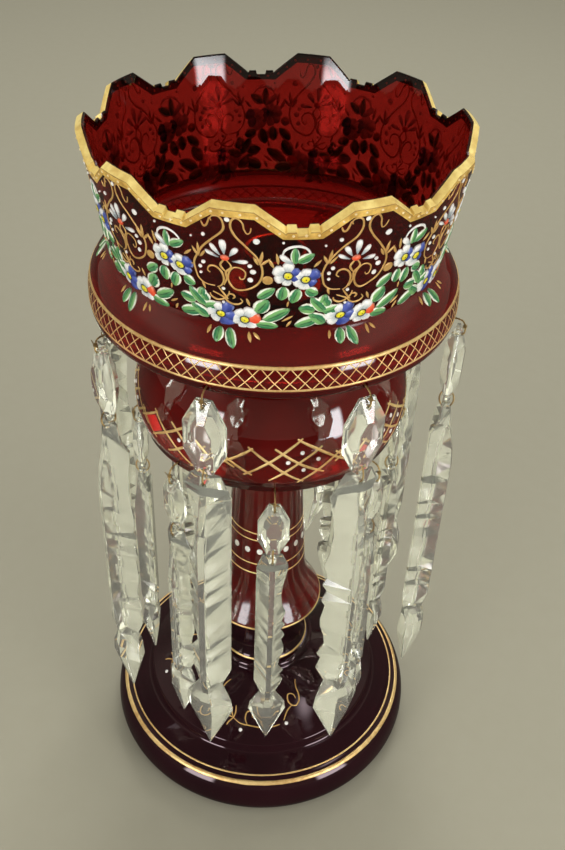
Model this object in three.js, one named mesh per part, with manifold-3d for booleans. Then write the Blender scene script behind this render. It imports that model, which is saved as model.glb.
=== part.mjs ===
// A ruby glass mantle lustre: a candlestick with a scalloped bowl and two rows of cut crystal pendants.
// Millimetres, +Z up. The origin is the middle of the ring on which the foot stands.
// The photograph's viewer stands on the -Y side, and angles round the lustre are counted from there towards +X.

import * as THREE from 'three';
import { mergeVertices } from 'three/addons/utils/BufferGeometryUtils.js';
import Module from 'manifold-3d';

const wasm = await Module();
wasm.setup();

// Clearance between pieces that sit on or in each other
const SEAT_GAP = 0.3;

// Foot
const FOOT_RADIUS = 82.8;
const FOOT_EDGE_HEIGHT = 10;
const FOOT_BRIM_HEIGHT = 22.6;
const FOOT_BRIM_INSET = 5;
const FOOT_STEP_RADIUS = 62.8;
const FOOT_STEP_HEIGHT = 31.4;
const FOOT_DOME_HEIGHT = 49.6;
const FOOT_EDGE_ROUND = 1.5;
const FOOT_STEP_ROUND = 1.6;
const FOOT_DOME_SWELL = 1.2;
const FOOT_WALL = 4;
const REST_RING_INNER = 68;
const REST_RING_OUTER = 76;
const RING_BEAD_RADIUS = 27.9;
const RING_BEAD_SIZE = 3;
const COLLAR_RADIUS = 21.4;
const COLLAR_FLARE = 3.1;
const COLLAR_TOP = 83;
const SPIGOT_RADIUS = 14.3;
const SPIGOT_HEIGHT = 14;
const SPIGOT_BORE = 9.5;

// Stem
const SKIRT_RADIUS = 30.4;
const SKIRT_EDGE = 2.2;
const SKIRT_LIFT = 3.2;
const SKIRT_HEIGHT = 30;
const SEAT_RIM_HEIGHT = 5;
const STEM_RADIUS = 17.3;
const STEM_SHOULDER_RADIUS = 20.7;
const STEM_TOP_FLARE = 9;
const STEM_TOP_FLARE_HEIGHT = 28;

// Lower tier, in one piece with the stem
const TIER_LIP_HEIGHT = 210;
const TIER_LIP_RADIUS = 58.3;
const TIER_RADIUS = 61.7;
const TIER_BELLY_HEIGHT = 225;
const TIER_TOP = 272;
const TIER_NECK_RADIUS = 31;
const TIER_SKIRT_DEPTH = 16;
const TIER_WALL = 3.6;
const TIER_LIP_BAND = 4;

// Crown bowl
const PEG_RADIUS = 23.8;
const PEG_LENGTH = 13;
const PEG_WALL = 4.2;
const FLOOR_THICKNESS = 3.5;
const FLOOR_LIFT = 2.6;
const FLANGE_RADIUS = 77.7;
const FLANGE_LIP_INSET = 0.7;
const FLANGE_LIP_HEIGHT = 273.5;
const LATTICE_FOOT = 278;
const LATTICE_TOP = 287.3;
const SHOULDER_TOP = 299;
const BOWL_BASE_RADIUS = 67.6;
const BOWL_RIM_RADIUS = 77.2;
const BOWL_HEIGHT = 350;
const BOWL_WALL = 3.8;
const LOBES = 10;
const LOBE_TURN = -10;
const LOBE_FLAT = 15;
const VALLEY_WIDTH = 12;
const VALLEY_DEPTH = 7.4;
const TOOTH_WIDTH = 3.6;
const TOOTH_HEIGHT = 1.6;
const CUT_REACH = 15;

// Candle socket
const CANDLE_BORE = 22;
const SOCKET_WALL = 0.9;
const SOCKET_HEIGHT = 17;
const SOCKET_DISH_RADIUS = 21;
const SOCKET_DISH_THICKNESS = 1.2;
const SOCKET_DISH_LIP = 3;
const SOCKET_ROLL = 1.4;

// Brass wire and the holes that it runs through
const WIRE = 0.9;
const WIRE_HOLE = 2.6;
const LIP_HOLE_RISE = 2.3;
const HOOK_TAIL = 2.4;
const DRILL_REACH = 12;

// The two rows of pendants. Angles are the places of the hand-drilled holes, in degrees.
// A prism with the side 1 has its notched edge on the right, seen from outside, and one with -1 on the left.
const OUTER_ROW = {
  name: 'outer',
  angles: [-57, -17, 28, 76, 121, 163, 211, 256],
  notchedSides: [1, -1, -1, 1, -1, 1, 1, -1],
  beadWidth: 18,
  beadHeight: 36.5,
  beadThickness: 8.6,
  beadDrop: 1.6,
  hangOut: 2.6,
  prismLength: 180,
  prismWidth: 20.5,
  prismDepth: 12,
  spearWidth: 23.4,
  spearLength: 46,
  linked: true,
};
const INNER_ROW = {
  name: 'inner',
  angles: [-41, 4, 51, 96, 142, 187, 232, 274],
  notchedSides: [1, 1, -1, 1, 1, -1, -1, 1],
  beadWidth: 14,
  beadHeight: 30,
  beadThickness: 7,
  beadDrop: 4,
  hangOut: 2.8,
  prismLength: 137,
  prismWidth: 15,
  prismDepth: 9,
  spearWidth: 18.6,
  spearLength: 37,
  linked: false,
};
const PENDANT_GAP = 0.7;
const BEAD_TIP_WIDTH = 5.8;
const BEAD_EDGE = 1.4;
const BEAD_TABLE_SHARE = 0.46;
const BEAD_HOLE_INSET = 3.4;
const PRISM_HOLE_INSET = 4;
const PRISM_HOLE_LAND = 3;
const PRISM_TOP_THICKNESS = 3.2;
const PRISM_CHAMFER = 1;
const PRISM_STRIP_SHARE = 0.22;
const PRISM_BACK_SHARE = 0.4;
const SPEAR_TIP = 1;

// Number of flat sides on turned pieces, drilled holes and wire
const BOWL_SIDES = 50;
const TURNED_SIDES = 32;
const HOLE_SIDES = 6;
const WIRE_SIDES = 4;

// Finishes
const RUBY = new THREE.MeshStandardMaterial({ color: 0x6b0c14, roughness: 0.08, metalness: 0 });
const DARK_RUBY = new THREE.MeshStandardMaterial({ color: 0x1d0b12, roughness: 0.1, metalness: 0 });
const CRYSTAL = new THREE.MeshStandardMaterial({ color: 0xdfe2d6, roughness: 0.04, metalness: 0 });
const BRASS = new THREE.MeshStandardMaterial({ color: 0xb08a45, roughness: 0.35, metalness: 1 });

const radians = THREE.MathUtils.degToRad;

// A smooth line through a few [radius, height] points
function smooth(points, steps) {
  const curve = new THREE.SplineCurve(points.map(([r, z]) => new THREE.Vector2(r, z)));
  return curve.getPoints(steps).map((point) => [point.x, point.y]);
}

// The same line moved by a wall's thickness to the left of the way it runs, and run backwards
function wallBehind(line, wall) {
  const moved = line.map(([r, z], i) => {
    const [r0, z0] = line[Math.max(i - 1, 0)];
    const [r1, z1] = line[Math.min(i + 1, line.length - 1)];
    const length = Math.hypot(r1 - r0, z1 - z0);
    return [r - (wall * (z1 - z0)) / length, z + (wall * (r1 - r0)) / length];
  });
  return moved.reverse();
}

// Turns a closed geometry into a solid, with shared corners and its faces pointing out
function solid(geometry) {
  const bare = geometry.clone();
  bare.deleteAttribute('normal');
  bare.deleteAttribute('uv');
  const merged = mergeVertices(bare, 1e-4);
  const corners = merged.attributes.position;
  const triangles = [];
  let volume = 0;
  for (let i = 0; i < merged.index.count; i += 3) {
    const [a, b, c] = [0, 1, 2].map((k) => merged.index.getX(i + k));
    if (a === b || b === c || c === a) {
      continue;
    }
    triangles.push([a, b, c]);
    const [p, q, r] = [a, b, c].map((k) => new THREE.Vector3().fromBufferAttribute(corners, k));
    volume += p.dot(q.cross(r));
  }
  const outward = volume > 0 ? triangles : triangles.map(([a, b, c]) => [a, c, b]);
  const mesh = new wasm.Mesh({
    numProp: 3,
    vertProperties: new Float32Array(corners.array),
    triVerts: new Uint32Array(outward.flat()),
  });
  return new wasm.Manifold(mesh);
}

// A solid as a named mesh
function piece(name, body, material) {
  const { vertProperties, triVerts } = body.getMesh();
  const geometry = new THREE.BufferGeometry();
  geometry.setAttribute('position', new THREE.BufferAttribute(vertProperties, 3));
  geometry.setIndex(new THREE.BufferAttribute(triVerts, 1));
  geometry.computeVertexNormals();
  const mesh = new THREE.Mesh(geometry, material);
  mesh.name = name;
  return mesh;
}

// A closed outline of [radius, height] points turned about the upright axis
function turned(outline, sides) {
  const closed = outline[0][0] === 0 ? outline : [...outline, outline[0]];
  const geometry = new THREE.LatheGeometry(closed.map(([r, z]) => new THREE.Vector2(r, z)), sides);
  geometry.rotateX(Math.PI / 2);
  return solid(geometry);
}

// A closed skin over rings of points that all have the same count
function loft(rings) {
  const count = rings[0].length;
  const positions = rings.flat(2);
  const index = [];
  for (let ring = 0; ring + 1 < rings.length; ring += 1) {
    for (let i = 0; i < count; i += 1) {
      const a = ring * count + i;
      const b = ring * count + ((i + 1) % count);
      index.push(a, b, b + count, a, b + count, a + count);
    }
  }
  const last = (rings.length - 1) * count;
  for (let i = 1; i + 1 < count; i += 1) {
    index.push(0, i + 1, i, last, last + i, last + i + 1);
  }
  const geometry = new THREE.BufferGeometry();
  geometry.setAttribute('position', new THREE.Float32BufferAttribute(positions, 3));
  geometry.setAttribute('normal', new THREE.Float32BufferAttribute(positions, 3));
  geometry.setAttribute('uv', new THREE.Float32BufferAttribute(new Float32Array(rings.length * count * 2), 2));
  geometry.setIndex(index);
  return solid(geometry);
}

// A drill that runs in and out at the front, at a height above the origin
function drill(diameter, near, far, height) {
  const geometry = new THREE.CylinderGeometry(diameter / 2, diameter / 2, far - near, HOLE_SIDES);
  geometry.translate(0, -(near + far) / 2, height);
  return solid(geometry);
}

// Wire bent along [distance out, height] points in the upright plane through the axis
function wire(points, steps) {
  const path = new THREE.CatmullRomCurve3(points.map(([out, z]) => new THREE.Vector3(0, -out, z)));
  const section = new THREE.Shape();
  for (let i = 0; i < WIRE_SIDES; i += 1) {
    const turn = (i / WIRE_SIDES) * 2 * Math.PI;
    const [x, y] = [(WIRE / 2) * Math.cos(turn), (WIRE / 2) * Math.sin(turn)];
    if (i === 0) {
      section.moveTo(x, y);
    } else {
      section.lineTo(x, y);
    }
  }
  return solid(new THREE.ExtrudeGeometry(section, { steps, extrudePath: path, bevelEnabled: false }));
}

// The drill for a bead or a prism of a row, long enough for the thickest of them
function pendantDrill(row, height) {
  return drill(WIRE_HOLE, row.hangRadius - DRILL_REACH, row.hangRadius + DRILL_REACH, height);
}

// Drills the holes of one row of pendants through a turned lip
function drillLip(body, row) {
  const hole = drill(WIRE_HOLE, row.lipRadius - DRILL_REACH, row.lipRadius + DRILL_REACH, row.holeHeight);
  return row.angles.reduce((drilled, angle) => drilled.subtract(hole.rotate([0, 0, angle])), body);
}

// A row of pendants with the places that it takes from the lip that it hangs on
function hungFrom(lipRadius, lipWall, lipHeight, row) {
  const beadTop = lipHeight - row.beadDrop;
  const beadFoot = beadTop - row.beadHeight;
  const prismTop = beadFoot - PENDANT_GAP;
  return {
    ...row,
    lipRadius,
    lipWall,
    holeHeight: lipHeight + LIP_HOLE_RISE,
    hangRadius: lipRadius + row.hangOut,
    beadTop,
    beadFoot,
    beadHoles: [beadTop - BEAD_HOLE_INSET, beadFoot + BEAD_HOLE_INSET],
    prismTop,
    prismHole: prismTop - PRISM_HOLE_INSET,
  };
}

const FLANGE_LIP_RADIUS = FLANGE_RADIUS - FLANGE_LIP_INSET;
const CROWN_SEAT = TIER_TOP + SEAT_GAP;
const CROWN_FLOOR = CROWN_SEAT + FLOOR_LIFT + FLOOR_THICKNESS;
const outerRow = hungFrom(FLANGE_LIP_RADIUS, BOWL_WALL, FLANGE_LIP_HEIGHT, OUTER_ROW);
const innerRow = hungFrom(TIER_LIP_RADIUS, TIER_WALL, TIER_LIP_HEIGHT, INNER_ROW);

// The foot: a hollow dome with a thick rounded brim, a ring bead and a collar that carries the stem
function foot() {
  const edge = smooth([
    [REST_RING_OUTER, 0],
    [FOOT_RADIUS - FOOT_EDGE_ROUND, FOOT_EDGE_HEIGHT / 2],
    [FOOT_RADIUS, FOOT_EDGE_HEIGHT],
    [FOOT_RADIUS - FOOT_EDGE_ROUND / 2, (FOOT_EDGE_HEIGHT + FOOT_BRIM_HEIGHT) / 2],
    [FOOT_RADIUS - FOOT_BRIM_INSET, FOOT_BRIM_HEIGHT],
    [FOOT_STEP_RADIUS + 3 * FOOT_STEP_ROUND, FOOT_BRIM_HEIGHT + 2 * FOOT_STEP_ROUND],
    [FOOT_STEP_RADIUS + FOOT_STEP_ROUND / 2, FOOT_STEP_HEIGHT - FOOT_STEP_ROUND],
  ], 9);
  const dome = smooth([
    [FOOT_STEP_RADIUS, FOOT_STEP_HEIGHT],
    [FOOT_STEP_RADIUS - FOOT_STEP_ROUND, FOOT_STEP_HEIGHT + FOOT_STEP_ROUND / 2],
    [(FOOT_STEP_RADIUS + RING_BEAD_RADIUS) / 2, (FOOT_STEP_HEIGHT + FOOT_DOME_HEIGHT) / 2 + FOOT_DOME_SWELL],
    [RING_BEAD_RADIUS - RING_BEAD_SIZE / 2, FOOT_DOME_HEIGHT],
  ], 5);
  const bead = [-50, 0, 50].map((turn) => [
    RING_BEAD_RADIUS - RING_BEAD_SIZE * (1 - Math.cos(radians(turn))),
    FOOT_DOME_HEIGHT + RING_BEAD_SIZE * (0.6 + Math.sin(radians(turn))),
  ]);
  const collarFoot = FOOT_DOME_HEIGHT + RING_BEAD_SIZE * 1.5;
  const collar = smooth([
    [COLLAR_RADIUS + COLLAR_FLARE, collarFoot],
    [COLLAR_RADIUS + COLLAR_FLARE / 3, collarFoot + 0.15 * (COLLAR_TOP - collarFoot)],
    [COLLAR_RADIUS, (collarFoot + COLLAR_TOP) / 2],
    [COLLAR_RADIUS, COLLAR_TOP],
  ], 3);
  const spigot = [
    [SPIGOT_RADIUS, COLLAR_TOP],
    [SPIGOT_RADIUS, COLLAR_TOP + SPIGOT_HEIGHT],
    [SPIGOT_BORE, COLLAR_TOP + SPIGOT_HEIGHT],
    [SPIGOT_BORE, collarFoot],
  ];
  const inside = wallBehind(dome, FOOT_WALL);
  const brimInside = [
    [FOOT_STEP_RADIUS - FOOT_WALL / 2, FOOT_BRIM_HEIGHT],
    [REST_RING_INNER - FOOT_WALL / 2, FOOT_EDGE_HEIGHT],
    [REST_RING_INNER, 0],
  ];
  return turned([...edge, ...dome, ...bead, ...collar, ...spigot, ...inside, ...brimInside], TURNED_SIDES);
}

// The pedestal: stem with its flared skirt, and the lower tier with the lip that carries the inner row
function pedestal() {
  const seat = COLLAR_TOP + SEAT_GAP;
  const bore = SPIGOT_RADIUS + SEAT_GAP;
  const skirtEdge = seat + SKIRT_LIFT;
  const skirtFlare = SKIRT_RADIUS - STEM_SHOULDER_RADIUS;
  const taper = STEM_SHOULDER_RADIUS - STEM_RADIUS;
  const stemTop = TIER_LIP_HEIGHT - STEM_TOP_FLARE_HEIGHT;
  const tierFloor = TIER_LIP_HEIGHT + TIER_SKIRT_DEPTH;
  const lipInner = TIER_LIP_RADIUS - TIER_WALL;
  const skirt = [
    [bore, seat],
    [COLLAR_RADIUS - SEAT_GAP, seat],
    [COLLAR_RADIUS, seat + SEAT_RIM_HEIGHT],
    [SKIRT_RADIUS - 2 * SKIRT_EDGE, seat + SEAT_RIM_HEIGHT + SKIRT_EDGE / 2],
    [SKIRT_RADIUS - SKIRT_EDGE, skirtEdge],
  ];
  const stem = smooth([
    [SKIRT_RADIUS, skirtEdge],
    [SKIRT_RADIUS - 0.41 * skirtFlare, skirtEdge + 0.3 * SKIRT_HEIGHT],
    [STEM_SHOULDER_RADIUS + 0.21 * skirtFlare, skirtEdge + 0.57 * SKIRT_HEIGHT],
    [STEM_SHOULDER_RADIUS, skirtEdge + SKIRT_HEIGHT],
    [STEM_RADIUS + 0.35 * taper, (skirtEdge + SKIRT_HEIGHT + stemTop) / 2],
    [STEM_RADIUS, stemTop],
    [STEM_RADIUS + 0.18 * STEM_TOP_FLARE, TIER_LIP_HEIGHT],
    [STEM_RADIUS + STEM_TOP_FLARE, tierFloor - TIER_LIP_BAND],
  ], 10);
  const under = [
    [lipInner - 2 * TIER_LIP_BAND, tierFloor],
    [lipInner - TIER_LIP_BAND / 4, tierFloor - TIER_LIP_BAND],
    [lipInner, TIER_LIP_HEIGHT],
  ];
  const lip = [
    [TIER_LIP_RADIUS, TIER_LIP_HEIGHT],
    [TIER_LIP_RADIUS + TIER_LIP_BAND / 8, TIER_LIP_HEIGHT + TIER_LIP_BAND],
  ];
  const shoulderIn = TIER_RADIUS - TIER_NECK_RADIUS;
  const shoulderUp = TIER_TOP - TIER_BELLY_HEIGHT;
  const belly = smooth([
    [(TIER_LIP_RADIUS + 3 * TIER_RADIUS) / 4, (TIER_LIP_HEIGHT + TIER_BELLY_HEIGHT) / 2],
    [TIER_RADIUS, TIER_BELLY_HEIGHT],
    [TIER_RADIUS - 0.08 * shoulderIn, TIER_BELLY_HEIGHT + 0.32 * shoulderUp],
    [TIER_RADIUS - 0.38 * shoulderIn, TIER_BELLY_HEIGHT + 0.68 * shoulderUp],
    [TIER_NECK_RADIUS + TIER_WALL, TIER_TOP - 1.7 * TIER_WALL],
    [TIER_NECK_RADIUS, TIER_TOP - TIER_WALL],
  ], 7);
  const socket = PEG_RADIUS + SEAT_GAP;
  const mouth = [
    [TIER_NECK_RADIUS, TIER_TOP],
    [socket, TIER_TOP],
    [socket, TIER_TOP - 2.7 * TIER_WALL],
  ];
  const inside = wallBehind(belly.slice(1, -2), TIER_WALL);
  const bottom = [
    [lipInner - TIER_WALL, tierFloor + TIER_WALL],
    [STEM_RADIUS + STEM_TOP_FLARE, tierFloor],
    [bore, TIER_LIP_HEIGHT - TIER_LIP_BAND],
  ];
  const body = turned(
    [...skirt, ...stem, ...under, ...lip, ...belly, ...mouth, ...inside, ...bottom],
    TURNED_SIDES,
  );
  return drillLip(body, innerRow);
}

// One valley between two lobes: slanted cuts, two square teeth and the notch between them
function valleyCutter() {
  const pitch = (2 * Math.PI * BOWL_RIM_RADIUS) / LOBES;
  const half = (pitch - LOBE_FLAT) / 2;
  const over = BOWL_WALL;
  const low = -VALLEY_DEPTH;
  const toothTop = TOOTH_WIDTH / 8;
  const notch = VALLEY_WIDTH / 2 - TOOTH_WIDTH;
  const side = [
    [half + over, over],
    [half, 0],
    [VALLEY_WIDTH / 2 + 2 * toothTop, low],
    [VALLEY_WIDTH / 2, low - TOOTH_HEIGHT / 2],
    [VALLEY_WIDTH / 2 - toothTop, low],
    [notch, low],
    [notch - toothTop, low - TOOTH_HEIGHT],
  ];
  const mirrored = side.map(([x, z]) => [-x, z]).reverse();
  const shape = new THREE.Shape([...side, ...mirrored].map(([x, z]) => new THREE.Vector2(x, z)));
  const geometry = new THREE.ExtrudeGeometry(shape, { depth: 2 * CUT_REACH, bevelEnabled: false });
  geometry.rotateX(Math.PI / 2);
  geometry.translate(0, CUT_REACH - BOWL_RIM_RADIUS, BOWL_HEIGHT);
  return solid(geometry);
}

// The crown bowl: peg, floor, drilled lip, rounded shoulder and the scalloped wall
function crownBowl() {
  const pegFoot = CROWN_SEAT - PEG_LENGTH;
  const pegBore = PEG_RADIUS - PEG_WALL;
  const floorFoot = CROWN_FLOOR - FLOOR_THICKNESS;
  const lipInner = FLANGE_LIP_RADIUS - BOWL_WALL;
  const underside = [
    [0, floorFoot],
    [pegBore, floorFoot],
    [pegBore, pegFoot],
    [PEG_RADIUS, pegFoot],
    [PEG_RADIUS, CROWN_SEAT],
    [TIER_NECK_RADIUS, CROWN_SEAT],
    [lipInner - 3 * BOWL_WALL, (3 * floorFoot + CROWN_FLOOR) / 4],
    [lipInner - BOWL_WALL / 4, CROWN_FLOOR],
    [lipInner, FLANGE_LIP_HEIGHT],
  ];
  const shoulderIn = FLANGE_RADIUS - BOWL_BASE_RADIUS;
  const shoulderUp = SHOULDER_TOP - LATTICE_TOP;
  const shoulder = smooth([
    [FLANGE_LIP_RADIUS, FLANGE_LIP_HEIGHT],
    [FLANGE_RADIUS, LATTICE_FOOT],
    [FLANGE_RADIUS, (LATTICE_FOOT + LATTICE_TOP) / 2],
    [FLANGE_RADIUS - 0.15 * shoulderIn, LATTICE_TOP],
    [FLANGE_RADIUS - 0.49 * shoulderIn, LATTICE_TOP + 0.62 * shoulderUp],
    [BOWL_BASE_RADIUS + 0.1 * shoulderIn, SHOULDER_TOP - 0.07 * shoulderUp],
  ], 7);
  const flare = BOWL_RIM_RADIUS - BOWL_BASE_RADIUS;
  const wallHeight = BOWL_HEIGHT - SHOULDER_TOP;
  const wall = smooth([
    [BOWL_BASE_RADIUS, SHOULDER_TOP],
    [BOWL_BASE_RADIUS + 0.38 * flare, SHOULDER_TOP + 0.43 * wallHeight],
    [BOWL_BASE_RADIUS + 0.66 * flare, SHOULDER_TOP + 0.67 * wallHeight],
    [BOWL_RIM_RADIUS, BOWL_HEIGHT],
  ], 3);
  const wallInside = wall.map(([r, z]) => [r - BOWL_WALL, z]).reverse();
  const shoulderInside = wallBehind(shoulder.slice(3, -1), BOWL_WALL);
  const floor = [
    [lipInner - BOWL_WALL, CROWN_FLOOR + BOWL_WALL / 4],
    [lipInner / 2, CROWN_FLOOR],
    [0, CROWN_FLOOR],
  ];
  const outline = [...underside, ...shoulder, ...wall, ...wallInside, ...shoulderInside, ...floor];
  let body = turned(outline, BOWL_SIDES);
  const cutter = valleyCutter();
  for (let lobe = 0; lobe < LOBES; lobe += 1) {
    const angle = LOBE_TURN + ((lobe + 0.5) * 360) / LOBES;
    body = body.subtract(cutter.rotate([0, 0, angle]));
  }
  return drillLip(body, outerRow);
}

// The brass candle socket that stands on the floor of the bowl
function candleSocket() {
  const foot = CROWN_FLOOR + SEAT_GAP;
  const dishTop = foot + SOCKET_DISH_THICKNESS;
  const bore = CANDLE_BORE / 2;
  const tube = bore + SOCKET_WALL;
  const top = foot + SOCKET_HEIGHT;
  return turned([
    [0, foot],
    [SOCKET_DISH_RADIUS, foot],
    [SOCKET_DISH_RADIUS + SOCKET_WALL, foot + SOCKET_DISH_LIP],
    [SOCKET_DISH_RADIUS - SOCKET_WALL / 2, foot + SOCKET_DISH_LIP],
    [SOCKET_DISH_RADIUS - SOCKET_WALL, dishTop],
    [tube, dishTop],
    [tube, top - SOCKET_ROLL],
    [tube + SOCKET_ROLL, top],
    [bore, top],
    [bore, dishTop],
    [0, dishTop],
  ], TURNED_SIDES);
}

// The hook that goes in through the lip and comes down into the bead's upper hole
function hook(row) {
  const inner = row.lipRadius - row.lipWall - WIRE / 2 - SEAT_GAP;
  const beadHole = row.beadHoles[0];
  const front = row.hangRadius + row.beadThickness / 2;
  return wire([
    [inner - WIRE / 2, row.holeHeight - HOOK_TAIL],
    [inner, row.holeHeight - WIRE / 2],
    [row.lipRadius - row.lipWall / 2, row.holeHeight],
    [row.lipRadius + WIRE, row.holeHeight],
    [front - WIRE / 2, (row.holeHeight + beadHole) / 2 + WIRE],
    [front, beadHole + WIRE],
    [row.hangRadius + 2 * WIRE, beadHole],
    [row.hangRadius, beadHole],
    [row.hangRadius - 3 * WIRE, beadHole],
  ], 11);
}

// The cut bead: a long octagon with a flat table on each side and a hole near each end
function bead(row) {
  const half = row.beadWidth / 2;
  const tall = row.beadHeight / 2;
  const tip = BEAD_TIP_WIDTH / 2;
  const outline = [
    [-tip, tall],
    [tip, tall],
    [half, tall * 0.3],
    [half, -tall * 0.26],
    [tip, -tall],
    [-tip, -tall],
    [-half, -tall * 0.26],
    [-half, tall * 0.3],
  ];
  const centre = row.beadTop - tall;
  const ring = (size, depth) => outline.map(([x, z]) => [x * size, -row.hangRadius - depth, centre + z * size]);
  const table = row.beadThickness / 2;
  const edge = BEAD_EDGE / 2;
  const body = loft([
    ring(BEAD_TABLE_SHARE, -table),
    ring(1, -edge),
    ring(1, edge),
    ring(BEAD_TABLE_SHARE, table),
  ]);
  return row.beadHoles.reduce((drilled, height) => drilled.subtract(pendantDrill(row, height)), body);
}

// The wire link that runs through the bead's lower hole and the prism's hole
function link(row) {
  const beadHole = row.beadHoles[1];
  const rise = (beadHole - row.prismHole + WIRE) / 2;
  const geometry = new THREE.TorusGeometry(rise, WIRE / 2, WIRE_SIDES, 12);
  geometry.rotateY(Math.PI / 2);
  geometry.scale(1, 0.86, 1);
  geometry.translate(0, -row.hangRadius, (beadHole + row.prismHole) / 2);
  return solid(geometry);
}

// The notched edge of a prism: share of the bar's length down from its top, share of its half width
const NOTCHED_EDGE = [
  [0.05, 1], [0.24, 0.66], [0.36, 0.98], [0.435, 0.78], [0.46, 1], [0.5, 0.76], [0.54, 1],
  [0.575, 0.8], [0.66, 0.98], [0.785, 0.66], [0.83, 1], [0.865, 0.78], [0.91, 1],
];
const ROOF_SHARE = 0.12;

// The prism: a three-sided bar with one notched edge, a sloping top with a hole, and a spear at its foot.
// The side is 1 for a notched edge on the right and -1 for one on the left.
function prism(row, side) {
  const half = row.prismWidth / 2;
  const plainHalf = half - PRISM_CHAMFER / 2;
  const strip = (row.prismWidth * PRISM_STRIP_SHARE) / 2;
  const back = row.prismDepth * PRISM_BACK_SHARE;
  const front = row.prismDepth - back;
  const barLength = row.prismLength - row.spearLength;
  const spearHalf = row.spearWidth / 2;
  const thin = PRISM_TOP_THICKNESS / 2;
  const land = PRISM_HOLE_INSET + PRISM_HOLE_LAND;
  const section = ({ down, notched, plain, ridge, forward, rearward, chamfer = PRISM_CHAMFER }) => {
    const points = [
      [-ridge, forward],
      [ridge, forward],
      [notched, chamfer - rearward],
      [notched - chamfer, -rearward],
      [chamfer - plain, -rearward],
      [-plain, chamfer - rearward],
    ];
    return points.map(([x, depth]) => [side * x, -row.hangRadius - depth, row.prismTop - down]);
  };
  const top = { ridge: strip, forward: thin, rearward: thin, notched: half * 0.62, plain: half * 0.62 };
  const rings = [
    section({ ...top, down: 0 }),
    section({ ...top, down: land, notched: half, plain: plainHalf, forward: thin + PRISM_CHAMFER }),
  ];
  for (const [share, width] of NOTCHED_EDGE) {
    const swell = Math.min(1, share / ROOF_SHARE);
    rings.push(section({
      down: land + share * (barLength - land),
      notched: half * width,
      plain: plainHalf,
      ridge: strip,
      forward: thin + PRISM_CHAMFER + swell * (front - thin - PRISM_CHAMFER),
      rearward: thin + swell * (back - thin),
    }));
  }
  const neckHalf = half * 0.56;
  const neck = { notched: neckHalf, plain: neckHalf, ridge: strip, forward: front * 0.7, rearward: back * 0.8 };
  const shoulder = { notched: spearHalf, plain: spearHalf, ridge: half * 0.34, forward: front, rearward: back };
  const tip = SPEAR_TIP / 2;
  const point = { notched: tip, plain: tip, ridge: tip / 2, forward: tip, rearward: tip, chamfer: tip / 2 };
  rings.push(section({ ...neck, down: barLength }));
  rings.push(section({ ...shoulder, down: barLength + row.spearLength * 0.26, chamfer: back }));
  rings.push(section({ ...point, down: row.prismLength }));
  return loft(rings).subtract(pendantDrill(row, row.prismHole));
}

const lustre = new THREE.Group();
lustre.add(piece('foot', foot(), DARK_RUBY));
lustre.add(piece('pedestal', pedestal(), RUBY));
lustre.add(piece('crown_bowl', crownBowl(), RUBY));
lustre.add(piece('candle_socket', candleSocket(), BRASS));

for (const row of [outerRow, innerRow]) {
  const hookBody = hook(row);
  const beadBody = bead(row);
  row.angles.forEach((angle, i) => {
    const pendant = new THREE.Group();
    pendant.rotation.z = radians(angle);
    pendant.add(piece(`${row.name}_hook_${i + 1}`, hookBody, BRASS));
    pendant.add(piece(`${row.name}_bead_${i + 1}`, beadBody, CRYSTAL));
    pendant.add(piece(`${row.name}_prism_${i + 1}`, prism(row, row.notchedSides[i]), CRYSTAL));
    if (row.linked) {
      pendant.add(piece(`${row.name}_link_${i + 1}`, link(row), BRASS));
    }
    lustre.add(pendant);
  });
}

export default lustre;
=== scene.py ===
import math
import random

import bmesh
import bpy
from mathutils import Matrix, Vector


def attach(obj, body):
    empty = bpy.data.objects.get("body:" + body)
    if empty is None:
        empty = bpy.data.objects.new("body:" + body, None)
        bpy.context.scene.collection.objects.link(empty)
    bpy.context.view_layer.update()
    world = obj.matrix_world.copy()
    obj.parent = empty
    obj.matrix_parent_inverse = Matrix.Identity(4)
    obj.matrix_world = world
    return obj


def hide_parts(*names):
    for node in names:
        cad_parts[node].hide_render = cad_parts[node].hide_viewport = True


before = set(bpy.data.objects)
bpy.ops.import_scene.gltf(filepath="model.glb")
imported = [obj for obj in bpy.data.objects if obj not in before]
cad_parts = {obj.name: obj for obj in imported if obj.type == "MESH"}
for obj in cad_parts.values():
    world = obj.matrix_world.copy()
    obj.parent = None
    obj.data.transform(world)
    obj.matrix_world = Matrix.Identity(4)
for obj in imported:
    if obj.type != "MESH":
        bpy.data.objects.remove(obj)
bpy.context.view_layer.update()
scene = bpy.context.scene
MM = 0.001


# The camera stands where the photograph's did, in front and above, a little out of plumb.
CAMERA_PLACE = Vector((6.13, -367.75, 494.83)) * MM
CAMERA_TILT = math.radians(38.683)
CAMERA_ROLL = math.radians(2.488)
CAMERA_LENS = 42.1

ahead = Vector((0, math.cos(CAMERA_TILT), -math.sin(CAMERA_TILT)))
level = Vector((1, 0, 0))
upright = level.cross(ahead)
right = level * math.cos(CAMERA_ROLL) + upright * math.sin(CAMERA_ROLL)
up = upright * math.cos(CAMERA_ROLL) - level * math.sin(CAMERA_ROLL)


def added(name, data):
    """A new object in the scene."""
    made = bpy.data.objects.new(name, data)
    scene.collection.objects.link(made)
    return made


camera = added("camera", bpy.data.cameras.new("camera"))
camera.data.sensor_width = 36
camera.data.lens = CAMERA_LENS
camera.data.clip_start = 0.01
camera.matrix_world = Matrix.Translation(CAMERA_PLACE) @ Matrix((right, up, -ahead)).transposed().to_4x4()
scene.camera = camera
scene.view_settings.view_transform = "Standard"


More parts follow.
